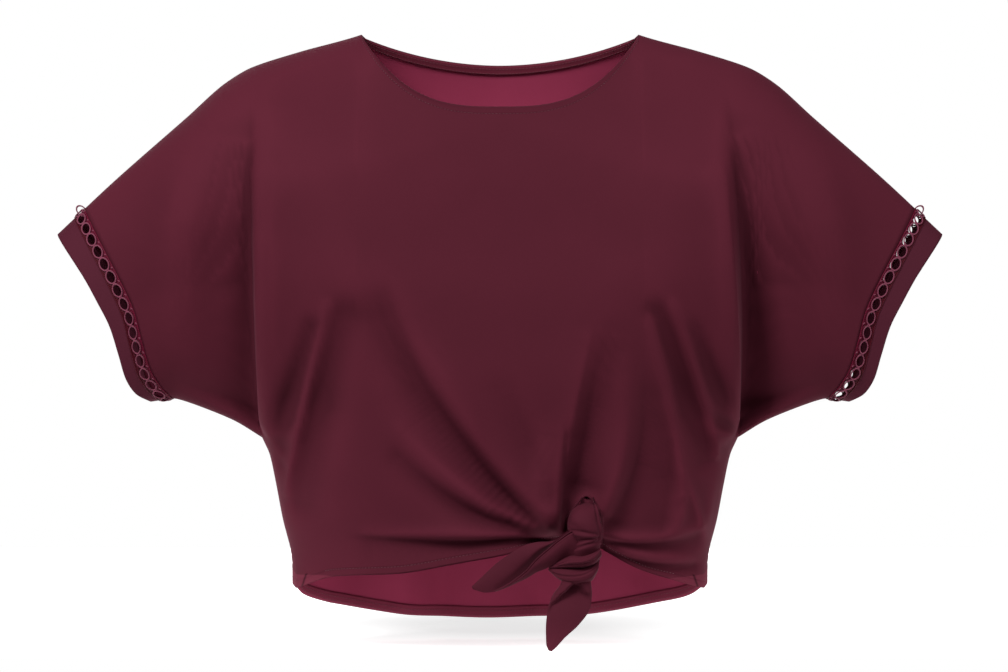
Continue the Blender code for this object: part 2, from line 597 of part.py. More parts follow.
class Panel:
    """A panel's grid of points, which of its cells are cloth, and where its seams run."""

    def __init__(self, runs, hem_line, drop, power, wrap, slit, place):
        tops, arms, hems = body_columns(runs, drop, power)
        uppers, lowers = [], []
        for top, arm, hem in zip(tops, arms, hems):
            lower = lower_column(arm, hem, hem_line, wrap)
            top_open = abs(top[0]) < NECK_HALF + SAME_PLACE
            uppers.append(upper_column(top, lower[0], UPPER_ROWS, top_open, place))
            lowers.append(lower)
        if slit:
            slit_edges(lowers[slit])
        columns = [sleeve_column(-1.0, step, place) for step in range(SLEEVE_COLUMNS)]
        columns += [np.vstack([upper, lower[1:]]) for upper, lower in zip(uppers, lowers)]
        columns += [sleeve_column(1.0, step, place) for step in reversed(range(SLEEVE_COLUMNS))]
        self.grid = place(np.array(columns).transpose(1, 0, 2))
        self.body = slice(SLEEVE_COLUMNS, SLEEVE_COLUMNS + len(tops))
        self.cells = np.ones((UPPER_ROWS + LOWER_ROWS, len(columns) - 1), bool)
        self.cells[UPPER_ROWS:, :SLEEVE_COLUMNS] = False
        self.cells[UPPER_ROWS:, self.body.stop - 1 :] = False
        if slit:
            open_columns = slice(SLEEVE_COLUMNS + slit.start, SLEEVE_COLUMNS + slit.stop - 1)
            self.cells[UPPER_ROWS + SLIT_ROW :, open_columns] = False

    def normals(self):
        """Unit normals, with the sleeves and the body below the armpits each taken by themselves."""
        normals = np.zeros_like(self.grid)
        normals[: UPPER_ROWS + 1] = normals_of(self.grid[: UPPER_ROWS + 1])
        normals[UPPER_ROWS:, self.body] = normals_of(self.grid[:, self.body])[UPPER_ROWS:]
        return normals

    def seams(self):
        """The runs of grid places along each seam, as index arrays."""
        last_row, last_column = self.grid.shape[0] - 1, self.grid.shape[1] - 1
        first_side, last_side = self.body.start, self.body.stop - 1
        out = self.grid[0, :, 0]
        runs = []
        for beyond in (out <= SAME_PLACE - NECK_HALF, out >= NECK_HALF - SAME_PLACE):
            columns = np.flatnonzero(beyond)
            runs.append((np.zeros_like(columns), columns))
        rows = np.arange(UPPER_ROWS + 1, last_row + 1)
        underarms = (np.arange(first_side + 1), np.arange(last_column, last_side - 1, -1))
        for underarm, side in zip(underarms, (first_side, last_side)):
            down = np.concatenate([np.full_like(underarm, UPPER_ROWS), rows])
            across = np.concatenate([underarm, np.full_like(rows, side)])
            runs.append((down, across))
        return runs


def normals_of(grid, ring=False):
    """Unit normals of a grid of points; ring says that its columns close on themselves."""
    if ring:
        across = np.roll(grid, -1, axis=1) - np.roll(grid, 1, axis=1)
    else:
        across = np.gradient(grid, axis=1)
    normal = np.cross(across, np.gradient(grid, axis=0))
    return normal / np.maximum(np.linalg.norm(normal, axis=-1, keepdims=True), 1e-12)


def seam_normals(points, normals):
    """Normals square to a seam and to the cloth's way across it, so that two walls meet edge to edge."""
    way = np.gradient(points, axis=0)
    across = np.tile([0.0, 1.0, 0.0], (len(points), 1))
    swung = -points[:, 2] > WRAP_FROM
    flat = points[:, [0, 2]]
    inwards = flat - np.array([SEAM_PROBE, 0.0]) * np.sign(points[:, :1])
    across[swung] = (front_point(inwards) - front_point(flat))[swung]
    square = np.cross(way, across)
    square /= np.linalg.norm(square, axis=-1, keepdims=True)
    return square * np.sign((square * normals).sum(-1, keepdims=True))


def add_object(name, made, material):
    """Makes the shape a named object with its faces pointing out."""
    bmesh.ops.recalc_face_normals(made, faces=made.faces)
    mesh = bpy.data.meshes.new(name)
    made.to_mesh(mesh)
    made.free()
    mesh.shade_smooth()
    mesh.set_sharp_from_angle(angle=math.radians(CREASE_DEGREES))
    mesh.materials.append(material)
    thing = bpy.data.objects.new(name, mesh)
    bpy.context.scene.collection.objects.link(thing)
    return thing


def wall(name, outer, inner, material, ring=False, cells=None):
    """A closed wall of cloth between an outer and an inner grid of points."""
    made = bmesh.new()
    rows, columns = outer.shape[:2]
    spans = columns if ring else columns - 1
    cells = np.ones((rows - 1, spans), bool) if cells is None else cells
    corners = {}
    rims = {}
    for row, column in zip(*np.nonzero(cells)):
        after = (column + 1) % columns
        loop = [(row, column), (row, after), (row + 1, after), (row + 1, column)]
        for place in loop:
            if place not in corners:
                corners[place] = (made.verts.new(outer[place]), made.verts.new(inner[place]))
        for skin in (0, 1):
            made.faces.new([corners[place][skin] for place in loop])
        for start, end in zip(loop, loop[1:] + loop[:1]):
            rims[frozenset((start, end))] = rims.get(frozenset((start, end)), 0) + 1
    for edge, uses in rims.items():
        if uses == 1:
            start, end = edge
            made.faces.new((corners[start][0], corners[end][0], corners[end][1], corners[start][1]))
    return add_object(name, made, material)


def cloth(name, colour, roughness):
    """A plain cloth material; the colour is linear red, green and blue."""
    material = bpy.data.materials.new(name)
    material.use_nodes = True
    shader = material.node_tree.nodes["Principled BSDF"]
    shader.inputs["Base Color"].default_value = (*colour, 1.0)
    shader.inputs["Roughness"].default_value = roughness
    shader.inputs["Metallic"].default_value = 0.0
    return material


def panel_wall(name, panel, outward, material):
    """Builds a panel and returns its unit normals, which point out of the blouse."""
    grid = panel.grid
    normals = panel.normals()
    middle = normals[UPPER_ROWS // 2, grid.shape[1] // 2, 1]
    normals *= outward * math.copysign(1.0, middle)
    for place in panel.seams():
        normals[place] = seam_normals(grid[place], normals[place])
    thickness = np.full(grid.shape[:2], WALL)
    thickness[-1, panel.body][1:-1] = HEM_WALL
    wall(name, grid, grid - thickness[..., None] * normals, material, cells=panel.cells)
    return normals


def make_front(material):
    """The front, open below the slit, where the knot gathers its two corners."""
    slit_start = FRONT_RUNS[0].columns + FRONT_RUNS[1].columns
    slit = slice(slit_start, slit_start + 3)
    panel = Panel(FRONT_RUNS, FRONT_HEM, NECK_DROP_FRONT, NECK_POWER_FRONT, -WRAP, slit, front_point)
    panel_wall("front", panel, -1.0, material)


def make_back(material, facing_material):
    """The back and, inside its neckline, the narrow facing made from the back's own points."""
    panel = Panel(BACK_RUNS, BACK_HEM, NECK_DROP_BACK, NECK_POWER_BACK, WRAP, None, back_point)
    normals = panel_wall("back", panel, 1.0, material)
    neck = np.abs(panel.grid[0, :, 0]) < NECK_HALF + SAME_PLACE
    rim, inward = panel.grid[:2, neck], normals[:2, neck]
    face = rim - (WALL + FACING_GAP) * inward
    wall("back_neck_facing", face, face - FACING_WALL * inward, facing_material)


def run_across_sleeve(side, top_out, under_share, place):
    """Shares down a line across the sleeve, and the length of cloth down to each of them."""
    fine = bunched()
    line = place(column_line(*sleeve_line(side, top_out, under_share), fine, bow_weight_at(top_out)))
    return fine, lengths_along(line)


def make_cuff(name, side, material):
    """The turned cuff, one loop of doubled cloth round the sleeve's end."""
    rows = []
    for row_share in np.linspace(0.0, 1.0, CUFF_ROWS + 1):
        top_out = CUFF_START + (CUFF_EDGE - CUFF_START) * row_share
        under_share = UNDER_CUFF_START * (1.0 - row_share)
        halves = []
        for place in (front_point, back_point):
            fine, run = run_across_sleeve(side, top_out, under_share, place)
            shares = np.interp(np.linspace(0.0, run[-1], CUFF_COLUMNS + 1), run, fine)
            half = place(column_line(*sleeve_line(side, top_out, under_share), shares, 1.0))
            half[[0, -1], 1] = 0.0
            halves.append(half)
        rows.append(np.vstack([halves[0][:-1], halves[1][:0:-1]]))
    grid = np.array(rows)
    normals = normals_of(grid, ring=True)
    centre = grid.mean(axis=(0, 1))
    if ((grid - centre) * normals).sum() < 0:
        normals = -normals
    wall(name, grid, grid - CUFF_WALL * normals, material, ring=True)


class TrimStrip:
    """Half of a sleeve's ring trim, as a strip with a skin on each side."""

    def __init__(self, side, place):
        self.place = place
        self.fine, self.run = run_across_sleeve(side, TRIM_START, UNDER_TRIM_START, place)
        self.length = self.run[-1]
        self.pitch = self.length / RINGS_PER_HALF
        self.near = sleeve_line(side, TRIM_START, UNDER_TRIM_START)
        self.far = sleeve_line(side, TRIM_END, UNDER_TRIM_END)
        self.made = bmesh.new()

    def point(self, across, travel):
        """A point of the strip: across from the sleeve to the cuff, travel along the cloth."""
        share = np.atleast_1d(np.interp(travel, self.run, self.fine))
        inside = column_line(*self.near, share, 1.0)
        outside = column_line(*self.far, share, 1.0)
        return self.place(inside + (outside - inside) * across)[0]

    def normal(self, across, travel):
        """The strip's normal at a place on it, pointing out of the sleeve."""
        step = self.pitch * NORMAL_STEP_SHARE
        low, high = max(travel - step, 0.0), min(travel + step, self.length)
        down = self.point(across, high) - self.point(across, low)
        normal = np.cross(self.point(1.0, travel) - self.point(0.0, travel), down)
        if travel in (0.0, self.length):
            normal[1] = 0.0
        near, far = sum(self.near) / 2, sum(self.far) / 2
        axis = near + (far - near) * across
        outward = self.point(across, travel) - np.array([axis[0], 0.0, axis[1]])
        return normal / np.linalg.norm(normal) * np.sign(normal @ outward)

    def pair(self, across, travel, rise=0.0):
        """The outer and the inner vertex at a place on the strip."""
        point, normal = self.point(across, travel), self.normal(across, travel)
        return self.made.verts.new(point + rise * normal), self.made.verts.new(point - TRIM_WALL * normal)

    def span(self, *pairs):
        """A face on each skin."""
        for skin in (0, 1):
            self.made.faces.new([pair[skin] for pair in pairs])

    def edge(self, first, second):
        """A face from skin to skin, along an edge of the cloth or of a hole."""
        self.made.faces.new((first[0], second[0], second[1], first[1]))

    def hole(self, centre):
        """The pairs round a ring's hole, from just past its cuff side by way of the next ring."""
        width = np.linalg.norm(self.point(1.0, centre) - self.point(0.0, centre))
        reach = min(RING_HOLE, HOLE_SHARE * width) / width
        pairs = []
        for number in range(RING_SIDES):
            angle = math.tau * (number + 0.5) / RING_SIDES
            across, travel = 0.5 + reach * math.cos(angle), centre + RING_HOLE * math.sin(angle)
            pairs.append(self.pair(across, travel, RING_RISE))
        return pairs

    def ring(self, start, end, centre):
        """One ring, between the pairs at its two ends."""
        hole = self.hole(centre)
        near, far = self.pair(0.0, centre), self.pair(1.0, centre)
        for number in range(RING_SIDES):
            self.edge(hole[number], hole[(number + 1) % RING_SIDES])
        self.span(far, end[1], hole[1], hole[0])
        self.span(end[1], end[0], hole[2], hole[1])
        self.span(end[0], near, hole[3], hole[2])
        self.span(near, hole[4], hole[3])
        self.span(near, start[0], hole[5], hole[4])
        self.span(start[0], start[1], hole[6], hole[5])
        self.span(start[1], far, hole[7], hole[6])
        self.span(far, hole[0], hole[7])
        for beside, begin, finish in ((near, start[0], end[0]), (far, start[1], end[1])):
            self.edge(begin, beside)
            self.edge(beside, finish)


def make_trim(name, side, place, material):
    """Half of a sleeve's ring trim, with a round hole in each ring, raised round the hole."""
    strip = TrimStrip(side, place)
    joints = []
    for number in range(RINGS_PER_HALF + 1):
        joints.append([strip.pair(across, number * strip.pitch) for across in (0.0, 1.0)])
    for number, (start, end) in enumerate(zip(joints, joints[1:])):
        strip.ring(start, end, (number + 0.5) * strip.pitch)
    strip.edge(*joints[0])
    strip.edge(*joints[-1])
    add_object(name, strip.made, material)


def knot_plane():
    """Depth of the knot's plane, just clear of the cloth round the slit."""
    rim = front_point(outline(ARCH))
    loop_back = max(section.back for section in KNOT_LOOP)
    return rim[:, 1].min() - SEAM_GAP - loop_back


def section_lines(sections, steps):
    """Both edges of a piece of the knot and its reach forward and back, along its length."""
    rows = [(s.x0, -s.d0, s.x1, -s.d1, s.front, s.back) for s in sections]
    lines = smooth_line(rows, steps)
    return lines[:, 0:2], lines[:, 2:4], lines[:, 4], lines[:, 5]


def make_roll(name, sections, plane, material):
    """A rolled piece of the knot: oval sections from end to end."""
    first, second, front, back = section_lines(sections, KNOT_STEPS)
    made = bmesh.new()
    rings = []
    for start, end, forward, behind in zip(first, second, front, back):
        ring = []
        for number in range(KNOT_SIDES):
            angle = math.tau * number / KNOT_SIDES
            x, z = (start + end) / 2 - (end - start) / 2 * math.cos(angle)
            lift = math.sin(angle)
            y = plane - lift * (forward if lift > 0 else behind)
            ring.append(made.verts.new((x, y, z)))
        rings.append(ring)
    for ring, after in zip(rings, rings[1:]):
        for number in range(KNOT_SIDES):
            beside = (number + 1) % KNOT_SIDES
            made.faces.new((ring[number], ring[beside], after[beside], after[number]))
    made.faces.new(rings[0])
    made.faces.new(rings[-1])
    add_object(name, made, material)


def make_tie(name, sections, ridge, plane, material):
    """A tie end: a leaf of doubled cloth with a soft ridge along it."""
    first, second, front, _ = section_lines(sections, TIE_STEPS)
    across = np.linspace(0.0, 1.0, TIE_COLUMNS)
    bump = np.where(across < ridge, across / ridge, (1.0 - across) / (1.0 - ridge)) ** TIE_RIDGE_POWER
    flat = first[:, None] + (second - first)[:, None] * across[None, :, None]
    resting = front_point(flat)[..., 1] - TIE_WALL - TIE_CLEARANCE
    y = np.minimum(plane, resting) - front[:, None] * bump[None, :]
    grid = np.stack([flat[..., 0], y, flat[..., 1]], axis=-1)
    wall(name, grid, grid + np.array([0.0, TIE_WALL, 0.0]), material)


def main():
    for thing in list(bpy.data.objects):
        bpy.data.objects.remove(thing)
    crepe = cloth("wine crepe", (0.090, 0.016, 0.028), 0.75)
    facing = cloth("facing crepe", (0.100, 0.017, 0.032), 0.75)
    cord = cloth("ring cord", (0.110, 0.022, 0.036), 0.60)
    make_front(crepe)
    make_back(crepe, facing)
    for name, side in (("left", -1.0), ("right", 1.0)):
        make_trim(name + "_trim_front", side, front_point, cord)
        make_trim(name + "_trim_back", side, back_point, cord)
        make_cuff(name + "_cuff", side, crepe)
    plane = knot_plane()
    make_roll("knot_loop", KNOT_LOOP, plane, crepe)
    make_roll("knot_upper_wrap", KNOT_UPPER_WRAP, plane, crepe)
    make_roll("knot_lower_wrap", KNOT_LOWER_WRAP, plane, crepe)
    make_tie("left_tie_end", LEFT_TIE, LEFT_TIE_RIDGE, plane - TIE_SET_BACK, crepe)
    make_tie("lower_tie_end", LOWER_TIE, LOWER_TIE_RIDGE, plane - TIE_SET_BACK, crepe)


main()
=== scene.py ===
"""Looks of a cropped blouse with cut-on sleeves, ring trim above its cuffs and a front hem tied off centre.

Each piece of cloth is a thin shell on the form of its solid, with finer folds, turned hems and stitches.
The rings of the trim are modelled cord. Left and right are the viewer's.
"""

import math
from collections import namedtuple
from functools import partialmethod

import bmesh
import bpy
import numpy as np
from bpy.props import FloatProperty, FloatVectorProperty, IntProperty, PointerProperty
from mathutils import Matrix, Vector


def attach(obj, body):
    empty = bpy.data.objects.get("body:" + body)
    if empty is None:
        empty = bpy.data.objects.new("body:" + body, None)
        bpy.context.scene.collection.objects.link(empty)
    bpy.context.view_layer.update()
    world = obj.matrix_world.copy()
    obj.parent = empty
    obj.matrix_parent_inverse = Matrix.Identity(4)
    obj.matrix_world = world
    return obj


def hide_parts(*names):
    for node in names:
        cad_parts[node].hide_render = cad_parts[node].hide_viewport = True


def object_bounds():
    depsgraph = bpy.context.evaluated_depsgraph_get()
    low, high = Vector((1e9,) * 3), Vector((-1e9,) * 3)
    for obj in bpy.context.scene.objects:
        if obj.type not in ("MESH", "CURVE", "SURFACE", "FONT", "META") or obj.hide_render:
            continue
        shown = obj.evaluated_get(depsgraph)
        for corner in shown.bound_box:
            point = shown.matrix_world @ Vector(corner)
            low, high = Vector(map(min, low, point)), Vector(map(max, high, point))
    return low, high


bl_info = {
    "name": "Knotted cropped blouse",
    "version": (1, 0, 0),
    "blender": (4, 5, 0),
    "location": "View3D > Sidebar > Blouse",
    "description": "Builds the cloth, trim, cuffs, knot and stitching of a cropped blouse",
    "category": "Object",
}

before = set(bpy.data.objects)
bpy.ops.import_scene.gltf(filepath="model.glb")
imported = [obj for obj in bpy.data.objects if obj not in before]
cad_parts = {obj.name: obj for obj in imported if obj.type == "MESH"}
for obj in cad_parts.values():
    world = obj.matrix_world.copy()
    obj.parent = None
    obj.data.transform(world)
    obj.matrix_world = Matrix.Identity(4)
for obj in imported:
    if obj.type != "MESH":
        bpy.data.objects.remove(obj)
CAD_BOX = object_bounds()
SIDES = (("left", -1.0), ("right", 1.0))

# Neckline, and where the sleeve, its trim and its cuff end: along the top as a distance out, and along
# the underarm as a share of the way from the cuff's edge to the armpit
NECK_HALF = 0.1136
NECK_DROP_FRONT = 0.0617
NECK_DROP_BACK = 0.0209
NECK_POWER_FRONT = 3.0
NECK_POWER_BACK = 2.0
SLEEVE_END = 0.3402
TRIM_START = 0.3405
TRIM_END = 0.3482
CUFF_START = 0.3480
CUFF_EDGE = 0.3627
UNDER_SLEEVE_END = 0.190
UNDER_TRIM_START = 0.184
UNDER_TRIM_END = 0.078
UNDER_CUFF_START = 0.076
ARMHOLE = 0.2250

# How far the back's cloth reaches on under the trim, on the left and on the right, and how much of the
# underarm that takes for each metre
BACK_LAP = {-1.0: 0.0086, 1.0: 0.0034}
UNDER_LAP = 12.0

# The back wraps round to the front at the hem, between these heights below the neck points
WRAP = 0.0040
WRAP_FROM = 0.405
WRAP_TO = 0.440

Spot = namedtuple("Spot", "place out down")
Bow = namedtuple("Bow", "share trim cuff")
Depth = namedtuple("Depth", "down front back")
Reach = namedtuple("Reach", "along torso depth top_round under_round")
FOLD_FIELDS = "name x0 d0 x1 d1 x2 d2 rise_start rise_mid rise_end left right crisp lean"
Fold = namedtuple("Fold", FOLD_FIELDS, defaults=(2.0, 0.0))
Section = namedtuple("Section", "place x0 d0 x1 d1 front back")
Leaf = namedtuple("Leaf", "place x0 d0 x1 d1 front edge flap")
Lobe = namedtuple("Lobe", "place x0 d0 x1 d1 front hollow")
NOT_SIZES = {"place", "name", "share", "along", "torso", "crisp", "edge", "hollow"}


def table(kind, *rows):
    """A table's rows, with their sizes written in millimetres and held in metres."""
    def held(field, cell):
        return cell if field in NOT_SIZES else round(cell / 1000, 7)

    return tuple(kind(*map(held, kind._fields, row)) for row in rows)


# Outlines of the front view, on the right side; the left mirrors them. Down is below the neck points.
SHOULDER = table(
    Spot,
    ("over the neck", 0, -48),
    ("side of the neck", 55, -25),
    ("neck point", 113.6, -1.2),
    ("mid shoulder", 164.8, 13.1),
    ("shoulder", 204.6, 26.2),
    ("shoulder bone", 228, 40.8),
    ("upper arm", 255.4, 65.6),
    ("lower arm", 315.3, 118.1),
    ("cuff corner", 362.7, 162.5),
    ("past the cuff", 420, 216),
)
UNDERARM = table(
    Spot,
    ("past the cuff", 340, 306),
    ("cuff", 286.2, 299.9),
    ("trim", 276.3, 298.5),
    ("sleeve", 266.1, 297.4),
    ("under the arm", 246, 303.8),
    ("near the armpit", 217.3, 315.7),
    ("armpit", 195, 329.2),
)
SIDE = table(
    Spot,
    ("armpit", 195, 329.2),
    ("below the armpit", 188.8, 343),
    ("ribs", 183.5, 367.4),
    ("waist", 178, 396),
    ("above the hem", 171.2, 424),
    ("hem", 170.2, 451),
)
BELOW_HEM = Spot("below the hem", 0.1690, 0.6000)
HEM_LEFT = table(
    Spot,
    ("side seam", -165, 451),
    ("beside the seam", -136, 440),
    ("left front", -77, 435.5),
    ("rising", -35, 427.8),
    ("centre", 4, 420.6),
    ("beside the knot", 30, 413.5),
    ("into the knot", 56, 408),
)
ARCH = table(
    Spot,
    ("left foot", 56, 408),
    ("left side", 54, 393.5),
    ("left shoulder", 60, 382.6),
    ("top of the slit", 69.2, 373.8),
    ("right shoulder", 78.5, 383.8),
    ("right side", 81.6, 397),
    ("right foot", 80, 416),
)
HEM_RIGHT = table(
    Spot,
    ("out of the knot", 80, 416),
    ("beside the knot", 109, 432),
    ("right front", 139, 442.5),
    ("side seam", 165, 451),
)
HEM_BACK = table(
    Spot,
    ("left side seam", -174.2, 451.4),
    ("round the left side", -172.2, 449.6),
    ("left side", -170.2, 448.4),
    ("behind the left side", -168.2, 452),
    ("towards the left back", -163, 458.8),
    ("further left back", -155, 463.2),
    ("left back", -140, 468.2),
    ("left of centre", -80, 479.5),
    ("centre back", 0, 482.6),
    ("right of centre", 80, 478.5),
    ("right back", 140, 466),
    ("further right back", 152, 462.6),
    ("towards the right back", 160, 458.6),
    ("behind the right side", 167.2, 451.8),
    ("right side", 170.2, 448),
    ("round the right side", 172.2, 449.6),
    ("right side seam", 174.2, 451.4),
)

# How far lines across the sleeve bow out from their straight chords, at the trim and at the cuff's edge
SLEEVE_BOW = table(
    Bow,
    (0.0, 0, 0),
    (0.27, -3.2, -4.2),
    (0.42, -4.6, -4.4),
    (0.56, -4.2, -3.6),
    (0.71, 1, 1.6),
    (0.84, 4.8, 6.8),
    (0.93, 3.6, 6.4),
    (1.0, 0, 0),
)
BOW_FROM = 0.260

# Depth of the filled cloth in front of and behind the seams, at heights down the centre, and the depth
# and edge radii of the cloth by how far along the sleeve a point lies, in metres there
TORSO_DEPTH = table(
    Depth,
    (0, 60, 54),
    (60, 74, 70),
    (120, 91, 86),
    (200, 107, 96),
    (280, 114, 94),
    (360, 112, 89),
    (450, 107, 90),
    (500, 107, 92),
)
SLEEVE_SHAPE = table(
    Reach,
    (0.12, 1.0, 70, 112, 172),
    (0.17, 0.7, 70, 104, 155),
    (0.22, 0.25, 64, 92, 115),
    (0.26, 0.04, 56, 85, 88),
    (0.3, 0.0, 46, 80, 80),
    (0.35, 0.0, 37, 78, 78),
)
SLEEVE_SLANT = 0.30
SLEEVE_MIDDLE = 0.20
TORSO_ONLY_FROM = 0.290
TORSO_ONLY_TO = 0.360
WAIST_ROUND = 0.170
TABLE_SPREAD = 0.030
TABLE_SAMPLES = 9
TABLE_TAPER = 0.8

# Folds: ridges, and troughs where the rise is below 0, along bent lines in the front view. Left and right
# are the widths on each side as one looks along the line; a crispness of 2 is a soft round fold and 1 a
# sharp one. The lean pushes the cloth sideways there, to the right when it is above 0, so a fold overhangs.
FRONT_FOLDS = table(
    Fold,
    ("left sleeve trough", -201, 88, -202, 200, -194.5, 322, -4, -27, -30, 5, 34, 1.25),
    ("left sleeve ridge", -238, 70, -262, 150, -256, 250, 1, 6, 2, 16, 18),
    ("left sleeve edge", -193, 120, -190, 250, -189.5, 323, 2, 4, 5, 14, 5, 1.5, 6),
    ("right sleeve trough", 188, 86, 201.5, 205, 195, 320, -4, -34, -36, 36, 5, 1.3),
    ("right sleeve ridge", 240, 70, 270, 150, 268, 250, 1, 5, 2, 18, 18),
    ("right sleeve edge", 177, 120, 188, 250, 189, 324, 2, 4, 5, 5, 14, 1.5, -6),
    ("right sleeve trough's foot", 200, 230, 203, 275, 197, 318, -3, -7, -7, 16, 6, 1.6),
    ("right armpit crease", 164, 306, 178, 316, 189.5, 327, -1, -5, -3, 4, 7, 1.6),
    ("left side crease", -137.3, 222.9, -158.3, 300.2, -174.2, 372.8, 2, 6, 6, 3.8, 4, 1.2),
    ("hollow inside the left crease", -125, 230, -144, 300, -160, 380, -3, -7, -6, 14, 10),
    ("hollow outside the left crease", -149, 240, -169, 300, -181, 348, -3, -8, -7, 7, 9),
    ("left armpit crease", -185, 336, -178, 343, -170, 351, 2, 3, 1, 5, 3, 1.6),
    ("deep trough to the knot", -90, 218, -69, 302, 31, 400.5, -1, -6, -12.5, 7.5, 16, 1.9),
    ("hollow beside the deep trough", -94, 232, -68, 306, 8, 386, -3, -5, -1, 12, 20),
    ("crease of the deep trough", -30, 333.5, 4, 377.5, 36.5, 402.5, -0.2, -3, -1, 5, 8, 1.9),
    ("crease of the second trough", -9.4, 385, 8, 396.5, 30, 404, -0.2, -4, -1, 4, 6, 1.6),
    ("edge above the deep trough", -68, 232, -45, 300, 32, 391, 0, 2, 3, 20, 10, 1.8),
    ("ridge under the deep trough", -78, 322, -24, 382, 36, 403, 1, 5, 4, 7, 9, 1.6),
    ("second trough to the knot", -80, 344, -19, 401, 38, 407.2, -2, -7, -12, 6, 12, 1.8),
    ("level ridge", -105, 404.5, -35, 406.5, 36, 404, 1, 4, 4, 8, 3, 1.5, 1),
    ("level trough", -100, 409, -35, 411.5, 40, 409, -3, -8, -10, 3.5, 20, 1.7),
    ("left of the trough above the knot", 70, 250, 56, 310, 47, 385, 1, 3, 5, 3, 14, 1.6),
    ("trough above the knot", 88, 244, 72.4, 301, 64, 364, -1, -8, -12, 13, 8),
    ("panel left of the loop", 38, 325, 30, 360, 36, 394, 1, 5, 4, 10, 10),
    ("crease left of the loop", 52.8, 330, 51.4, 362, 50, 396, -3, -8, -8, 12, 2.2, 1.6),
    ("hollow over the deep trough", 4, 290, 20, 335, 38, 372, -1, -3, -3, 10, 14),
    ("ridge above the knot", 101, 270, 102, 340, 86, 386, 0.5, 4, 6, 7, 9, 1.7),
    ("right inner ridge", 120.5, 234.1, 142, 308, 148.7, 372.9, 2, 5, 4, 3.8, 4.8, 1.2),
    ("right inner ridge's foot", 148.7, 380, 149, 394, 140, 402, 3, 4, 1, 4.5, 6, 1.3),
    ("right outer ridge", 138.4, 222.9, 160, 280, 176.5, 341.5, 2, 6, 6, 4.2, 4, 1.2),
    ("hollow between the ridges", 127, 228, 149, 285, 165, 346, -3, -9, -6, 8, 9),
    ("hollow outside the ridges", 156, 242, 173, 292, 188, 319, -2, -8, -9, 7, 8),
    ("right waist ridge", 150, 358, 157.5, 373.5, 166, 406, 2, 6, 6, 4.5, 4.5, 1.3),
    ("hollow under the inner ridge", 136, 325, 135, 360, 128, 396, -1, -5, -4, 8, 14),
    ("trough right of the knot", 116.8, 299.2, 116.5, 350.8, 90.5, 393, -2, -10, -8, 25, 6, 1.7),
    ("band right of the knot", 83.5, 404, 115, 415, 163.7, 400, 4, 5, 3, 7, 3, 1.4, 1),
    ("crease above the band", 85, 396.5, 100, 401, 125, 401, -1, -1, 0, 5, 3.5, 1.7),
    ("right waist edge", 175.5, 365, 171.2, 390, 168, 418, 2, 8, 5, 3.6, 4.5, 1.4),
    ("hollow under the band", 83.5, 410.5, 118, 419.5, 160, 409.5, -8, -6, -3, 3.5, 9, 1.7),
    ("lowest ridge to the right", 88, 414, 116, 427.5, 157.5, 428.5, 3, 4, 1, 6, 3.5, 1.5),
    ("lowest trough to the right", 83.5, 417, 112, 434.5, 157.3, 431.5, -8, -9, -5, 3.5, 6, 1.6),
)
BACK_FOLDS = table(
    Fold,
    ("left sleeve trough", -208, 100, -210, 210, -199, 320, -2, -16, -12, 8, 30),
    ("right sleeve trough", 205, 95, 212, 210, 199, 320, -2, -16, -12, 30, 8),
    ("left blade fold", -120, 180, -136, 300, -122, 440, 1, 7, 4, 12, 18, 1.6),
    ("left back trough", -92, 210, -90, 340, -74, 470, -1, -8, -8, 18, 12),
    ("left of the centre back", -52, 270, -44, 360, -50, 478, 1, 4, 5, 12, 16, 1.7),
    ("centre back trough", -8, 250, -16, 360, -12, 480, -1, -5, -6, 18, 16),
    ("right of the centre back", 30, 260, 26, 360, 30, 479, 1, 4, 6, 14, 14, 1.7),
    ("right back trough", 66, 220, 72, 350, 66, 472, -1, -8, -8, 12, 18),
    ("right blade fold", 116, 170, 132, 290, 120, 440, 1, 7, 4, 18, 12, 1.6),
    ("left armpit ridge", -186, 220, -184, 280, -187, 322, 0, 4, 3, 10, 6, 1.5),
    ("right armpit ridge", 186, 220, 183, 280, 187, 322, 0, 4, 3, 6, 10, 1.5),
    ("crease below the left blade", -160, 330, -138, 356, -108, 364, 1, 3, 0, 5, 10, 1.5),
    ("crease below the right blade", 158, 340, 138, 362, 112, 370, 1, 3, 0, 10, 5, 1.5),
    ("crease over the left waist", -166, 390, -140, 404, -106, 402, 1, 3, 0, 5, 9, 1.5),
)
FOLD_STEPS = 40
FOLD_END_REACH = 0.6
ROUND_CREST = 0.12
FOLD_FADE = 0.016
KNOT_CENTRE = Spot("knot", 0.0690, 0.4020)
KNOT_CLEAR = 0.0050
SLIT_OVERLAP = 0.0008
KNOT_PINCH = 0.0080
KNOT_PINCH_REACH = 0.0260

# Columns of a panel's body, as runs along its top edge with their shares of the half width at the armpits'
# level and at the hem. An ease above 1 bunches columns towards the run's first one, below -1 its last.
Run = namedtuple("Run", "place columns top_from top_to arm_from arm_to hem_from hem_to ease")
SLEEVE_COLUMNS = 35
LEFT_SHOULDER = Run("left shoulder", 36, -ARMHOLE, -NECK_HALF, -1.0, -0.6, -1.0, -0.6, 1.5)
FRONT_RUNS = (
    LEFT_SHOULDER,
    Run("left front", 40, -NECK_HALF, -0.0284, -0.6, -0.115, -0.6, -0.115, 1.0),
    Run("left of the slit", 52, -0.0284, 0.0460, -0.115, 0.308, -0.115, 0.308, 1.0),
    Run("slit", 14, 0.0460, 0.0740, 0.308, 0.405, 0.308, 0.503, 1.0),
    Run("right front", 30, 0.0740, NECK_HALF, 0.405, 0.6, 0.503, 0.680, 1.0),
    Run("right shoulder", 36, NECK_HALF, ARMHOLE, 0.6, 1.0, 0.680, 1.0, -1.5),
)
SLIT_RUN = 3
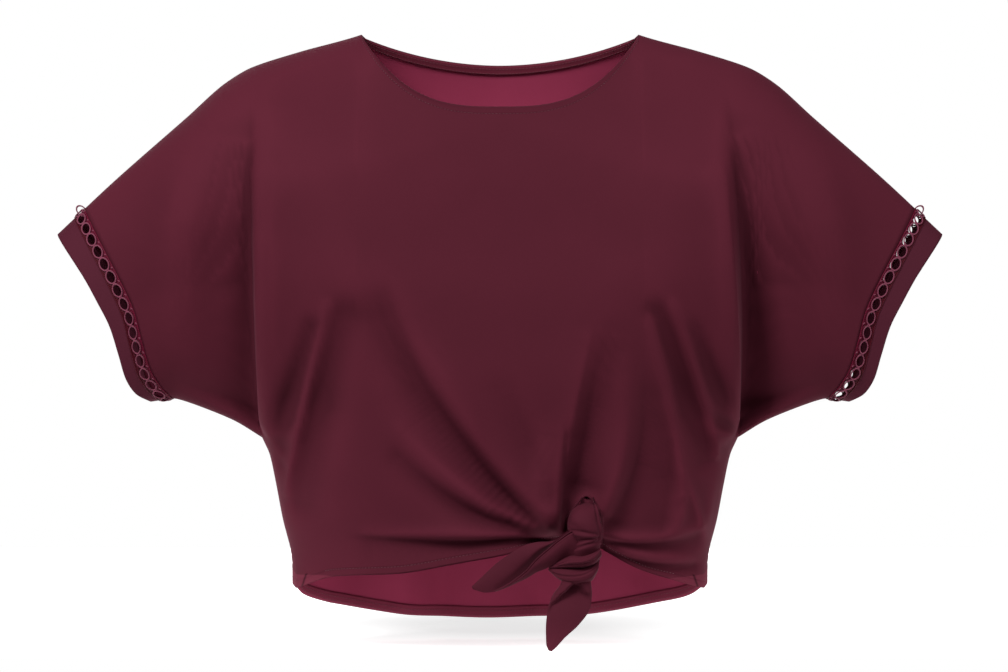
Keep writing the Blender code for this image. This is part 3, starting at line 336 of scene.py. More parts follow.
BACK_RUNS = (
    LEFT_SHOULDER,
    Run("back", 75, -NECK_HALF, NECK_HALF, -0.6, 0.6, -0.6, 0.6, 1.0),
    Run("right shoulder", 36, NECK_HALF, ARMHOLE, 0.6, 1.0, 0.6, 1.0, -1.5),
)
ARM_LEVEL_RISE = 0.0450
UPPER_ROWS = 66
LOWER_ROWS = 80
SLIT_ROW = 65
SLIT_EASE = 0.016
SLIT_EASE_END = 0.048
ARCH_LEFT = 0.30
ARCH_RIGHT = 0.66
FINE_STEPS = 260
SAME_PLACE = 1e-6

# How far the cloth stands out of its smoothed form, which gives it painted highlight on its crests and
# painted
# shade in its hollows: the rounds of smoothing, the stand that gives the full painted light and shade, and
# that painted light and shade
RELIEF_ROUNDS = 24
RELIEF_FINE_ROUNDS = 5
RELIEF_FULL = 0.0024
RELIEF_PAINTED_LIGHT = 0.20

# Turned edges: a distance from an edge that means far from it, the gap to the cloth they are turned on, and
# how round the turn is
FAR = 1.0
TURN_GAP = 0.0002
TURN_ROUND = 1.4
LAYERS_INSIDE = 3.0
STITCH_LIFT = 0.15
FRONTWARDS = Vector((0.0, -1.0, 0.0))

# Sections of the knot's pieces, each with its two edges in the front view, how far its middle stands
# forward of the knot's plane, and how far it reaches back
KNOT_LOOP = table(
    Section,
    ("inside the slit", 65.5, 370, 73.5, 370, -18, 20),
    ("behind the slit's edge", 65, 375.5, 74, 375.2, -12, 15),
    ("under the slit", 64, 378.8, 74.8, 378.4, -9, 9),
    ("out of the slit", 60.6, 381.8, 77.2, 381.2, 3, 5),
    ("crown", 56.6, 385.8, 78.8, 384.8, 10, 4),
    ("widest", 53.8, 393.6, 80, 392.2, 15, 5),
    ("belly", 54.4, 400.5, 81.8, 399, 16, 5),
    ("waist", 58.6, 408.5, 81.3, 406, 14.5, 5),
    ("over the wrap", 57.4, 416.5, 80, 412.5, 13, 4.5),
    ("under the wrap", 58, 422, 79, 418, 9.5, 4),
    ("tucked in", 60, 429, 77, 425, 5, 3),
)
KNOT_UPPER_WRAP = table(
    Section,
    ("left end", 38.4, 430, 38.8, 431.2, 1.5, 1.5),
    ("left", 47, 424.6, 47.8, 431.2, 7, 3),
    ("under the loop", 56.2, 420.4, 57.2, 431, 13.5, 4.5),
    ("middle", 65.2, 420, 66.4, 430.6, 16, 5),
    ("right", 74, 417.2, 76, 427.2, 15, 4.5),
    ("right end", 79.6, 414, 81.8, 420, 8, 3),
)
KNOT_LOWER_WRAP = table(
    Section,
    ("left end", 38, 431.2, 38.6, 432.6, 1, 1.5),
    ("left", 46.2, 430.2, 47, 439.8, 6, 3),
    ("under", 56.2, 430, 57, 443.2, 11, 4.5),
    ("middle", 65.5, 429.6, 66, 443.2, 12, 5),
    ("right", 74.2, 426.4, 73.5, 440.4, 10.5, 4.5),
    ("right end", 79.8, 422.2, 78.6, 432, 5, 2.5),
)

# The left tie end also has the share across it where its folded edge lies, and how far the flap in front of
# that edge stands off the leaf behind it. The lower tie end has how deep its hollow is.
LEFT_TIE = table(
    Leaf,
    ("under the loop", 64, 396, 62, 424, 6, 0.06, 4),
    ("at the knot", 54.5, 401, 54, 421.2, 7, 0.05, 6),
    ("near the knot", 45.5, 407.5, 44, 427, 8, 0.06, 6.2),
    ("petal starts", 38.5, 409.4, 37, 430.8, 8, 0.26, 6),
    ("shoulder", 30, 409.8, 29, 434, 7.5, 0.52, 5.6),
    ("full width", 20, 412.2, 21.5, 438.5, 6.5, 0.74, 4.4),
    ("past half way", 8.8, 418.5, 8, 444.8, 5, 0.88, 2.2),
    ("tapering", -2.2, 426.2, -3, 449, 3.5, 0.93, 0.6),
    ("near the tip", -12.3, 435.5, -12.5, 449.9, 2.2, 0.95, 0.1),
    ("tip", -22.4, 445.2, -21.4, 447.4, 1, 0.95, 0),
)
LOWER_TIE = table(
    Lobe,
    ("under the knot", 50, 437, 72.2, 437, 6, 0.5),
    ("out of the knot", 47.8, 444, 72.8, 444, 7, 1.0),
    ("spreading", 43, 450, 73.4, 451, 7, 1.0),
    ("full width", 39.7, 457.5, 72.4, 460, 6, 0.8),
    ("lower", 37.6, 466.3, 69.6, 467.2, 4.5, 0.5),
    ("tapering", 36.6, 476, 61.2, 477.4, 3, 0.25),
    ("near the tip", 36.6, 485, 51.5, 486.2, 2, 0.1),
    ("almost there", 37.1, 492.4, 44.5, 494, 1, 0.0),
    ("tip", 38.8, 496.2, 41.2, 496.8, 0.5, 0.0),
)

# Creases pressed into a rolled piece: lines from one place to another, each place as a share of the
# piece's length and a turn round it, where 0.25 faces forward
Crease = namedtuple("Crease", "along0 turn0 along1 turn1 rise width")
LOOP_CREASES = (
    Crease(0.05, 0.39, 0.72, 0.405, -0.0014, 0.014),
    Crease(0.05, 0.42, 0.74, 0.430, 0.0010, 0.014),
    Crease(0.05, 0.445, 0.76, 0.452, -0.0010, 0.012),
    Crease(0.60, 0.10, 0.66, 0.36, -0.0010, 0.020),
    Crease(0.64, 0.12, 0.69, 0.38, 0.0008, 0.018),
    Crease(0.72, 0.06, 0.70, 0.42, -0.0016, 0.018),
    Crease(0.78, 0.06, 0.74, 0.44, -0.0014, 0.018),
    Crease(0.50, 0.06, 0.62, 0.22, -0.0008, 0.040),
    Crease(0.15, 0.20, 0.45, 0.19, 0.0008, 0.070),
)
UPPER_CREASES = (
    Crease(0.15, 0.20, 0.98, 0.13, -0.0012, 0.022),
    Crease(0.20, 0.30, 0.98, 0.30, -0.0009, 0.022),
    Crease(0.30, 0.25, 0.95, 0.20, 0.0008, 0.030),
)
LOWER_CREASES = (
    Crease(0.10, 0.30, 0.98, 0.18, -0.0010, 0.026),
    Crease(0.30, 0.17, 0.98, 0.11, -0.0008, 0.024),
    Crease(0.20, 0.36, 0.95, 0.30, 0.0006, 0.030),
)

# The front's turned hem is lighter at its two corners: how fast that narrows towards the middle, and its
# width carried on to the middle
LIGHT_CORNER_SLOPE = 0.36
LIGHT_CORNER_START = -0.0480
LIGHT_CORNER_SOFT = 0.0008
LIGHT_CORNER_TINT = 0.6
HEM_EDGE_SOFT = 0.0002
# The dark side seam at each of those corners: how far out it meets the hem, how much it slants inwards for
# each metre up, and how far up it shows
SIDE_SEAM_OUT = 0.1606
SIDE_SEAM_SLANT = 0.40
SIDE_SEAM_SHOWS = 0.0094
SIDE_SEAM_WIDTH = 0.0017
SIDE_SEAM_SOFT = 0.0010
SIDE_SEAM_TINT = 1.2
# Painted shade far inside the sleeves: where the cloth there starts to be darker, over what width, and how
# much
DEEP_FROM = 0.235
DEEP_REACH = 0.060
PAINTED_SLEEVE_SHADE = 0.8


def smooth_step(value, low, high):
    """0 up to low and 1 from high, with a smooth rise between them."""
    share = np.clip((np.asarray(value, float) - low) / (high - low), 0.0, 1.0)
    return share * share * (3.0 - 2.0 * share)


def bell(distance, width):
    """1 at no distance, and almost 0 past twice the width."""
    return np.exp(-((distance / width) ** 2))


def unit(vectors):
    """The vectors at a length of 1."""
    return vectors / np.maximum(np.linalg.norm(vectors, axis=-1, keepdims=True), 1e-12)


def smooth_line(points, per_span=12):
    """A smooth line through the points, with each span cut into this many steps."""
    points = np.asarray(points, float)
    padded = np.vstack([2 * points[0] - points[1], points, 2 * points[-1] - points[-2]])
    line = []
    for i in range(1, len(padded) - 2):
        before, start, end, after = padded[i - 1 : i + 3]
        span = np.linalg.norm(end - start)
        pull_in = (end - before) / 2 * min(1.0, span / max(np.linalg.norm(start - before), 1e-9))
        pull_out = (after - start) / 2 * min(1.0, span / max(np.linalg.norm(after - end), 1e-9))
        for share in np.linspace(0.0, 1.0, per_span, endpoint=False):
            square, cube = share**2, share**3
            line.append((2 * cube - 3 * square + 1) * start + (cube - 2 * square + share) * pull_in
                        + (3 * square - 2 * cube) * end + (cube - square) * pull_out)
    return np.array(line + [points[-1]])


def outline(spots):
    """The smooth line through the spots, as (x, z) points."""
    return smooth_line([(spot.out, -spot.down) for spot in spots])


def lengths_along(line):
    """The length of the line up to each of its points."""
    return np.concatenate([[0.0], np.cumsum(np.linalg.norm(np.diff(line, axis=0), axis=1))])


def places_at(at, run, line):
    """The line's places at these lengths along it; run is how far along each of its points lies."""
    return np.stack([np.interp(at, run, column) for column in line.T], axis=-1)


def along(line, shares):
    """Points at these shares of the line's length."""
    run = lengths_along(line)
    return places_at(np.asarray(shares) * run[-1], run, line)


def distance_to(line, x, z):
    """How far each point lies from the line, in the front view."""
    start, step = line[:-1], np.diff(line, axis=0)
    off_x, off_z = x[..., None] - start[:, 0], z[..., None] - start[:, 1]
    share = np.clip((off_x * step[:, 0] + off_z * step[:, 1]) / (step**2).sum(1), 0.0, 1.0)
    return np.hypot(off_x - share * step[:, 0], off_z - share * step[:, 1]).min(-1)


def on_line(line, at):
    """The second value of a line of pairs where its first value is at."""
    return np.interp(at, line[:, 0], line[:, 1])


MIRROR = np.array([-1.0, 1.0])
SHOULDER_LINE = outline(SHOULDER)
SIDE_LINE = outline(SIDE)
SIDE_BY_DEPTH = SIDE_LINE[:, ::-1] * MIRROR
CUFF_TO_ARMPIT = outline(UNDERARM[1:])
TOP_SEAM = np.vstack([(SHOULDER_LINE * MIRROR)[::-1][:-1], SHOULDER_LINE])
LOW_SEAM = np.vstack([outline(UNDERARM), SIDE_LINE[1:], outline((SIDE[-1], BELOW_HEM))[1:]])
BOW_LINE = smooth_line(SLEEVE_BOW)
ARCH_LINE = outline(ARCH)
FRONT_HEM = np.vstack([outline(HEM_LEFT), outline(HEM_RIGHT)])
BACK_HEM = outline(HEM_BACK)


def top_edge(x, drop, power):
    """Height of a panel's top edge: the neckline, and outside it the shoulder and the top of the sleeve."""
    out = np.abs(x)
    return np.where(out < NECK_HALF, -drop * (1.0 - (out / NECK_HALF) ** power), on_line(SHOULDER_LINE, out))


def table_value(rows, field, at):
    """A table's value, averaged over a short stretch so that its corners are round."""
    shifts = np.linspace(-1.0, 1.0, TABLE_SAMPLES)
    weights = 1.0 - TABLE_TAPER * np.abs(shifts)
    keys, values = [row[0] for row in rows], [getattr(row, field) for row in rows]
    total = 0.0
    for shift, weight in zip(shifts, weights):
        total = total + weight * np.interp(at + shift * TABLE_SPREAD, keys, values)
    return total / weights.sum()


def rounding(distance, radius):
    """0 at a seam and 1 at its radius or beyond, as a quarter of an ellipse."""
    short = 1.0 - np.clip(distance / radius, 0.0, 1.0)
    return np.sqrt(1.0 - short**2)


def fold_shape(fold, x, z):
    """How much one fold lifts the cloth at each point of the front view, and how it pushes it sideways."""
    rise, push = np.zeros_like(x), np.zeros((len(x), 2))
    shares = np.linspace(0.0, 1.0, FOLD_STEPS + 1)[:, None]
    start, bend, end = np.array([(fold.x0, -fold.d0), (fold.x1, -fold.d1), (fold.x2, -fold.d2)])
    line = (1 - shares) ** 2 * start + 2 * shares * (1 - shares) * bend + shares**2 * end
    reach = 4.0 * max(fold.left, fold.right)
    low, high = line.min(0) - reach, line.max(0) + reach
    near = (x > low[0]) & (x < high[0]) & (z > low[1]) & (z < high[1])
    if not near.any():
        return rise, push
    gap = np.stack([x[near][:, None] - line[:, 0], z[near][:, None] - line[:, 1]], axis=-1)
    nearest = (gap**2).sum(-1).argmin(-1)
    off = gap[np.arange(len(nearest)), nearest]
    heading = unit(np.gradient(line, axis=0))[nearest]
    side = heading[:, 0] * off[:, 1] - heading[:, 1] * off[:, 0]
    past = (heading * off).sum(-1)
    away = np.abs(side / np.where(side > 0, fold.left, fold.right))
    rises = [fold.rise_start, fold.rise_mid, fold.rise_end]
    height = np.interp(shares[nearest, 0], [0.0, 0.5, 1.0], rises)
    rounded = np.sqrt(away**2 + ROUND_CREST**2) - ROUND_CREST
    end_reach = FOLD_END_REACH * (fold.left + fold.right)
    profile = np.exp(-(rounded**fold.crisp) - (past / end_reach) ** 2)
    rise[near] = height * profile
    share = height / max(map(abs, rises))
    across = np.stack([heading[:, 1], -heading[:, 0]], axis=-1)
    push[near] = (fold.lean * np.abs(share) * profile)[:, None] * across
    return rise, push


def cloth_form(x, z, side):
    """How far the cloth stands from the seams' plane at points of the front view, and its sideways push."""
    reach = np.abs(x) + SLEEVE_SLANT * (-z - SLEEVE_MIDDLE)
    torso_only = smooth_step(-z, TORSO_ONLY_FROM, TORSO_ONLY_TO)
    values = (table_value(SLEEVE_SHAPE, field, reach) for field in Reach._fields[1:])
    share, sleeve, top_round, under_round = values
    torso_share = 1.0 - (1.0 - share) * (1.0 - torso_only)
    under_round = under_round + (WAIST_ROUND - under_round) * torso_only
    from_top = distance_to(TOP_SEAM, x, z)
    from_low = np.minimum(distance_to(LOW_SEAM, x, z), distance_to(LOW_SEAM * MIRROR, x, z))
    full = torso_share * table_value(TORSO_DEPTH, side, -z) + (1.0 - torso_share) * sleeve
    depth = full * rounding(from_top, top_round) * rounding(from_low, under_round)
    fade = smooth_step(np.minimum(from_top, from_low), 0.0, FOLD_FADE)
    if side == "front":
        knot_distance = np.hypot(x - KNOT_CENTRE.out, z + KNOT_CENTRE.down)
        depth = depth - KNOT_PINCH * bell(knot_distance, KNOT_PINCH_REACH)
    push = np.zeros((len(x), 2))
    for fold in FRONT_FOLDS if side == "front" else BACK_FOLDS:
        rise, sideways = fold_shape(fold, x, z)
        depth = depth + fade * rise
        push += fade[:, None] * sideways
    return depth, push


def set_out(flat, side, sign):
    """Front-view points of one side set out in depth, with the folds' sideways push."""
    depth, push = cloth_form(flat[..., 0].ravel(), flat[..., 1].ravel(), side)
    moved = flat + push.reshape(flat.shape)
    return np.stack([moved[..., 0], sign * depth.reshape(flat.shape[:-1]), moved[..., 1]], axis=-1)


def front_point(flat):
    """Front-view points of the front set out in depth."""
    return set_out(flat, "front", -1.0)


def back_point(flat):
    """Front-view points of the back set out in depth; past the side they come round to the front."""
    x, z = flat[..., 0], flat[..., 1]
    over = np.where(-z > WRAP_FROM, np.maximum(np.abs(x) - on_line(SIDE_BY_DEPTH, -z), 0.0), 0.0)
    turned = np.stack([x - 2.0 * over * np.sign(x), z], axis=-1)
    return np.where(over[..., None] > 0.0, set_out(turned, "front", -1.0), set_out(turned, "back", 1.0))


def eased(steps, ease):
    """Shares from 0 to 1, bunched towards 0 by an ease above 1 and towards 1 by one below -1."""
    shares = np.linspace(0.0, 1.0, steps + 1)
    return shares**ease if ease > 0 else 1.0 - (1.0 - shares) ** -ease


def bunched():
    """Shares down a line, close together at its two ends, where the cloth turns in to the seams."""
    return (1.0 - np.cos(np.linspace(0.0, math.pi, FINE_STEPS + 1))) / 2


def half_width(z, wrap):
    """Half the panel's width at heights below the armpits, up to its side seam."""
    return on_line(SIDE_BY_DEPTH, -z) + wrap * smooth_step(-z, WRAP_FROM, WRAP_TO)


def column_line(top, low, shares):
    """Points down a column in the front view, bowed as the sleeve's end is."""
    chord = low - top
    side = 1.0 if top[0] > 0 else -1.0
    outward = side * np.array([-chord[1], chord[0]]) / np.linalg.norm(chord)
    trim, cuff = (np.interp(shares, BOW_LINE[:, 0], BOW_LINE[:, k]) for k in (1, 2))
    past = smooth_step(abs(top[0]), TRIM_START, CUFF_EDGE)
    bow = smooth_step(abs(top[0]), BOW_FROM, TRIM_END) * (trim + (cuff - trim) * past)
    return top + chord * shares[:, None] + outward * bow[:, None]


def sleeve_line(side, top_out, under_share):
    """The two ends of a line across the sleeve, from its top to its underarm."""
    top = np.array([top_out, on_line(SHOULDER_LINE, top_out)])
    turn = np.array([side, 1.0])
    return top * turn, along(CUFF_TO_ARMPIT, [under_share])[0] * turn


def even_column(top, low, steps, place):
    """A column from its top to its low end, in steps that are even along the cloth itself."""
    fine = bunched()
    run = lengths_along(place(column_line(top, low, fine)))
    return column_line(top, low, np.interp(np.linspace(0.0, run[-1], steps + 1), run, fine))


def body_columns(runs, drop, power):
    """The top point of each body column, and its share of the half width at the armpits and at the hem."""
    tops, arms, hems = [], [], []
    for number, run in enumerate(runs):
        skip = 1 if number else 0
        x = np.linspace(run.top_from, run.top_to, run.columns + 1)[skip:]
        shares = eased(run.columns, run.ease)[skip:]
        tops.append(np.stack([x, top_edge(x, drop, power)], axis=1))
        arms.append(run.arm_from + (run.arm_to - run.arm_from) * shares)
        hems.append(run.hem_from + (run.hem_to - run.hem_from) * shares)
    return np.vstack(tops), np.concatenate(arms), np.concatenate(hems)


def lower_column(arm, hem, hem_line, wrap):
    """The rows of a column from the armpits' level to the hem, as front-view points."""
    start = -SIDE[0].down + ARM_LEVEL_RISE * (1.0 - arm**2)
    end = on_line(hem_line, hem * half_width(np.array(-SIDE[-1].down), wrap))
    shares = np.linspace(0.0, 1.0, LOWER_ROWS + 1)
    z = start - (start - end) * shares
    return np.stack([(arm + (hem - arm) * shares) * half_width(z, wrap), z], axis=-1)


def open_slit(lowers, first, last):
    """Moves the columns at the slit on to its arch, and eases their neighbours after them."""
    down = np.linspace(0.0, 1.0, LOWER_ROWS - SLIT_ROW + 1)
    targets = along(ARCH_LINE, np.linspace(ARCH_LEFT, ARCH_RIGHT, last - first + 1))
    rise = smooth_step(np.linspace(0.0, 1.0, SLIT_ROW + 1), 0.0, 1.0)[:, None]
    moves = {}
    for column, target in zip(range(first, last + 1), targets):
        move = np.zeros_like(lowers[column])
        move[: SLIT_ROW + 1] = (target - lowers[column][SLIT_ROW]) * rise
        move[SLIT_ROW:] = target - lowers[column][SLIT_ROW]
        moves[column] = move
    for column, shares in ((first, ARCH_LEFT * (1.0 - down)), (last, ARCH_RIGHT + (1.0 - ARCH_RIGHT) * down)):
        moves[column][SLIT_ROW:] = along(ARCH_LINE, shares) - lowers[column][SLIT_ROW:]
    for edge, beside in ((first, range(first - 1, -1, -1)), (last, range(last + 1, len(lowers)))):
        for column in beside:
            away = abs(lowers[column][-1, 0] - lowers[edge][-1, 0])
            if away > SLIT_EASE_END:
                break
            moves[column] = moves[edge] * math.exp(-away / SLIT_EASE)
            moves[column][-1, 1] = 0.0
    for column, move in moves.items():
        lowers[column] += move
        if column not in range(first, last + 1):
            lowers[column][-1, 1] = on_line(FRONT_HEM, lowers[column][-1, 0])


def normals_of(grid, ring=False):
    """Unit normals of a grid of points; ring says that its columns close on themselves."""
    across = np.roll(grid, -1, axis=1) - np.roll(grid, 1, axis=1) if ring else np.gradient(grid, axis=1)
    return unit(np.cross(across, np.gradient(grid, axis=0)))


def row_at(grid, from_edge, distance):
    """The place on each column of the grid at this length of cloth from its edge."""
    places = []
    for run, column in zip(from_edge.T, grid.transpose(1, 0, 2)):
        order = np.argsort(run)
        places.append(places_at(distance, run[order], column[order]))
    return np.array(places)


def relief(grid, rounds):
    """How far each point stands forward of the smoothed form round it, and which way."""
    smooth = grid.copy()
    for _ in range(rounds):
        smooth[1:-1] = (smooth[:-2] + 2.0 * smooth[1:-1] + smooth[2:]) / 4.0
        smooth[:, 1:-1] = (smooth[:, :-2] + 2.0 * smooth[:, 1:-1] + smooth[:, 2:]) / 4.0
    return grid - smooth


class Panel:
    """A panel's fine grid of points, its normals, how far each point lies from its edges, and its cells."""

    def __init__(self, runs, hem_line, drop, power, wrap, slit_run, place):
        tops, arms, hems = body_columns(runs, drop, power)
        lowers = [lower_column(arm, hem, hem_line, wrap) for arm, hem in zip(arms, hems)]
        laps, self.slit = BACK_LAP, None
        if slit_run is not None:
            first = sum(run.columns for run in runs[:slit_run])
            last = first + runs[slit_run].columns
            open_slit(lowers, first, last)
            laps = dict.fromkeys(BACK_LAP, 0.0)
            self.slit = slice(SLEEVE_COLUMNS + first, SLEEVE_COLUMNS + last)
        uppers = [even_column(top, lower[0], UPPER_ROWS, place) for top, lower in zip(tops, lowers)]
        steps = range(SLEEVE_COLUMNS)
        columns = [self.sleeve_column(-1.0, step, laps, place) for step in steps]
        columns += [np.vstack([upper, lower[1:]]) for upper, lower in zip(uppers, lowers)]
        columns += [self.sleeve_column(1.0, step, laps, place) for step in reversed(steps)]
        self.grid = place(np.array(columns).transpose(1, 0, 2))
        self.body = slice(SLEEVE_COLUMNS, SLEEVE_COLUMNS + len(tops))
        self.cells = np.ones((UPPER_ROWS + LOWER_ROWS, len(columns) - 1), bool)
        self.cells[UPPER_ROWS:, : self.body.start] = False
        self.cells[UPPER_ROWS:, self.body.stop - 1 :] = False
        if self.slit:
            self.cells[UPPER_ROWS + SLIT_ROW :, self.slit] = False
        self.normals = self.outward_normals()
        steps = np.linalg.norm(np.diff(self.grid, axis=0), axis=2)
        self.from_top = np.vstack([np.zeros(len(columns)), np.cumsum(steps, axis=0)])
        self.from_hem = self.from_top[-1] - self.from_top
        self.neck = np.flatnonzero(np.abs(self.grid[0, :, 0]) < NECK_HALF + SAME_PLACE)

    def sleeve_column(self, side, step, laps, place):
        """A column of the sleeve; below the underarm its rows stay there."""
        share = step / SLEEVE_COLUMNS
        end = SLEEVE_END + laps[side]
        under_end = UNDER_SLEEVE_END - UNDER_LAP * laps[side]
        ends = sleeve_line(side, end + (ARMHOLE - end) * share, under_end + (1.0 - under_end) * share)
        upper = even_column(*ends, UPPER_ROWS, place)
        return np.vstack([upper, np.repeat(upper[-1:], LOWER_ROWS, axis=0)])

    def outward_normals(self):
        """Unit normals that point out of the blouse, the body below the armpits taken by itself."""
        normals = np.zeros_like(self.grid)
        normals[: UPPER_ROWS + 1] = normals_of(self.grid[: UPPER_ROWS + 1])
        normals[UPPER_ROWS:, self.body] = normals_of(self.grid[:, self.body])[UPPER_ROWS:]
        middle = self.grid.shape[1] // 2
        outward = np.sign(self.grid[UPPER_ROWS, middle, 1])
        return normals * outward * np.sign(normals[UPPER_ROWS // 2, middle, 1])

    def stand(self):
        """How far each point stands out of the smoothed cloth round it."""
        grid = self.grid.copy()
        sleeves = ((slice(self.body.start), self.body.start),
                   (slice(self.body.stop, None), self.body.stop - 1))
        for sleeve, edge in sleeves:
            grid[UPPER_ROWS + 1 :, sleeve] = grid[UPPER_ROWS + 1 :, edge, None]
        out = relief(grid, RELIEF_ROUNDS) + 2.0 * relief(grid, RELIEF_FINE_ROUNDS)
        out = (out * self.normals).sum(-1)
        for sleeve, edge in sleeves:
            out[:, sleeve] *= np.clip((UPPER_ROWS - np.arange(len(grid))) / RELIEF_ROUNDS, 0.0, 1.0)[:, None]
        return out

    def line(self, columns, from_edge, distance):
        """A line on the cloth at this distance from an edge, and its normals."""
        parts = (self.grid, self.normals)
        return [row_at(part[:, columns], from_edge[:, columns], distance) for part in parts]

    def turned_rows(self, from_edge, depth, lift, steps):
        """Rows of a hem turned to the inside, from its edge inwards, and their distances from the edge."""
        rows, shares = [], np.linspace(0.0, 1.0, steps + 1)[1:]
        for share in shares:
            place, up = self.line(slice(None), from_edge, depth * share)
            rows.append(place - lift * min(1.0, math.sqrt(share * steps) / TURN_ROUND) * up)
        return np.array(rows), -(depth * shares)[:, None]

    def mesh(self, look):
        """The shell: turned neck rows, the panel's own rows, and turned hem rows."""
        turn, columns = look.turn_rows, self.grid.shape[1]
        lift = 2.0 * look.thickness + TURN_GAP
        neck_rows, neck_at = self.turned_rows(self.from_top, look.neck_turn, lift, turn)
        hem_rows, hem_at = self.turned_rows(self.from_hem, look.hem_turn, lift, turn)
        on_neck = np.isin(np.arange(columns), self.neck)
        on_hem = np.zeros(columns, bool)
        on_hem[self.body] = True
        if self.slit:
            on_hem[self.slit.start + 1 : self.slit.stop] = False
        edges = [np.tile(on[1:] & on[:-1], (turn, 1)) for on in (on_neck, on_hem)]
        far = np.full((turn, columns), FAR)
        from_neck = np.where(on_neck, np.vstack([neck_at[::-1] + 0.0 * far, self.from_top]), FAR)
        from_hem = np.where(on_hem, np.vstack([self.from_hem, hem_at + 0.0 * far]), FAR)
        # stand drives the outside crepe's painted highlight on crests and painted shade in hollows
        values = {"from_neck": np.vstack([from_neck, far]), "from_hem": np.vstack([far, from_hem]),
                  "stand": np.pad(self.stand(), ((turn, turn), (0, 0)))}
        grid = np.vstack([neck_rows[::-1], self.grid, hem_rows])
        made = sheet_mesh(grid, np.vstack([edges[0], self.cells, edges[1]]), values)
        hem = made.verts.layers.float["from_hem"]
        for face in made.faces:
            if any(vert[hem] < 0.0 for vert in face.verts):
                face.material_index = 2
        return made


PANELS = {}
PANEL_SHAPES = {
    "front": (FRONT_RUNS, FRONT_HEM, NECK_DROP_FRONT, NECK_POWER_FRONT, -WRAP, SLIT_RUN, front_point),
    "back": (BACK_RUNS, BACK_HEM, NECK_DROP_BACK, NECK_POWER_BACK, WRAP, None, back_point),
}


def panel_called(side):
    """The front's or the back's panel, worked out once."""
    if side not in PANELS:
        PANELS[side] = Panel(*PANEL_SHAPES[side])
    return PANELS[side]


class Link:
    """A socket in a shader sum. Operators on it add Math nodes."""

    def __init__(self, shader, socket):
        self.shader = shader
        self.socket = socket

    def sum_with(self, operation, other, swapped=False):
        values = (other, self) if swapped else (self, other)
        return self.shader.maths(operation, *values)

    __add__ = __radd__ = partialmethod(sum_with, "ADD")
    __mul__ = __rmul__ = partialmethod(sum_with, "MULTIPLY")
    __sub__ = partialmethod(sum_with, "SUBTRACT")
    __rsub__ = partialmethod(sum_with, "SUBTRACT", swapped=True)
    __truediv__ = partialmethod(sum_with, "DIVIDE")
    __rtruediv__ = partialmethod(sum_with, "DIVIDE", swapped=True)


class Shader:
    """A material's node tree, with one method that adds any node."""

    def __init__(self, name):
        self.material = bpy.data.materials.new(name)
        self.material.use_nodes = True
        self.tree = self.material.node_tree
        self.surface = self.tree.nodes["Principled BSDF"]

    def add(self, kind, settings, values, *outputs):
        """Adds a node, sets it up, feeds its sockets and returns its first output, or the ones named."""
        node = self.tree.nodes.new(kind)
        for key, value in settings.items():
            setattr(node, key, value)
        for key, value in values.items():
            self.feed(node.inputs[key], value)
        links = [Link(self, node.outputs[output]) for output in outputs or (0,)]
        return links if len(links) > 1 else links[0]

    def feed(self, socket, value):
        """Links a value to a socket, or sets it there."""
        if isinstance(value, Link):
            self.tree.links.new(value.socket, socket)
        else:
            socket.default_value = value

    def set(self, **values):
        """Feeds the surface's sockets, named with underscores for spaces."""
        for key, value in values.items():
            self.feed(self.surface.inputs[key.replace("_", " ")], value)

    def maths(self, operation, *values):
        return self.add("ShaderNodeMath", {"operation": operation}, dict(enumerate(values)))

    def vectors(self, operation, *values, output=0):
        return self.add("ShaderNodeVectorMath", {"operation": operation}, dict(enumerate(values)), output)

    def place(self):
        """Object coordinates, in metres."""
        return self.add("ShaderNodeTexCoord", {}, {}, "Object")

    def attribute(self, name):
        return self.add("ShaderNodeAttribute", {"attribute_name": name}, {}, "Fac")

    def out_from_middle(self, place):
        """How far a place lies to the left or right of the middle."""
        return self.maths("ABSOLUTE", self.add("ShaderNodeSeparateXYZ", {}, {0: place}))

    def noise(self, place, size, detail=2.0, roughness=0.5):
        """Noise from 0 to 1 whose lumps are about this many metres across."""
        values = {"Vector": place, "Scale": 1.0 / size, "Detail": detail, "Roughness": roughness}
        return self.add("ShaderNodeTexNoise", {"noise_dimensions": "3D"}, values, "Fac")

    def band(self, value, centre, width):
        """1 where the value is at the centre, fading to 0 at this width from it."""
        return self.clamped(1.0 - self.maths("ABSOLUTE", value - centre) / width)

    def clamped(self, value):
        return self.add("ShaderNodeClamp", {}, {"Value": value})

    def tinted(self, colour, factor):
        """A colour times a factor."""
        grey = self.add("ShaderNodeCombineXYZ", {}, {0: factor, 1: factor, 2: factor})
        return self.vectors("MULTIPLY", grey, tuple(colour)[:3])

    def bump(self, height, distance, strength=1.0, **before):
        values = {"Height": height, "Distance": distance, "Strength": strength}
        return self.add("ShaderNodeBump", {}, {**values, **before})


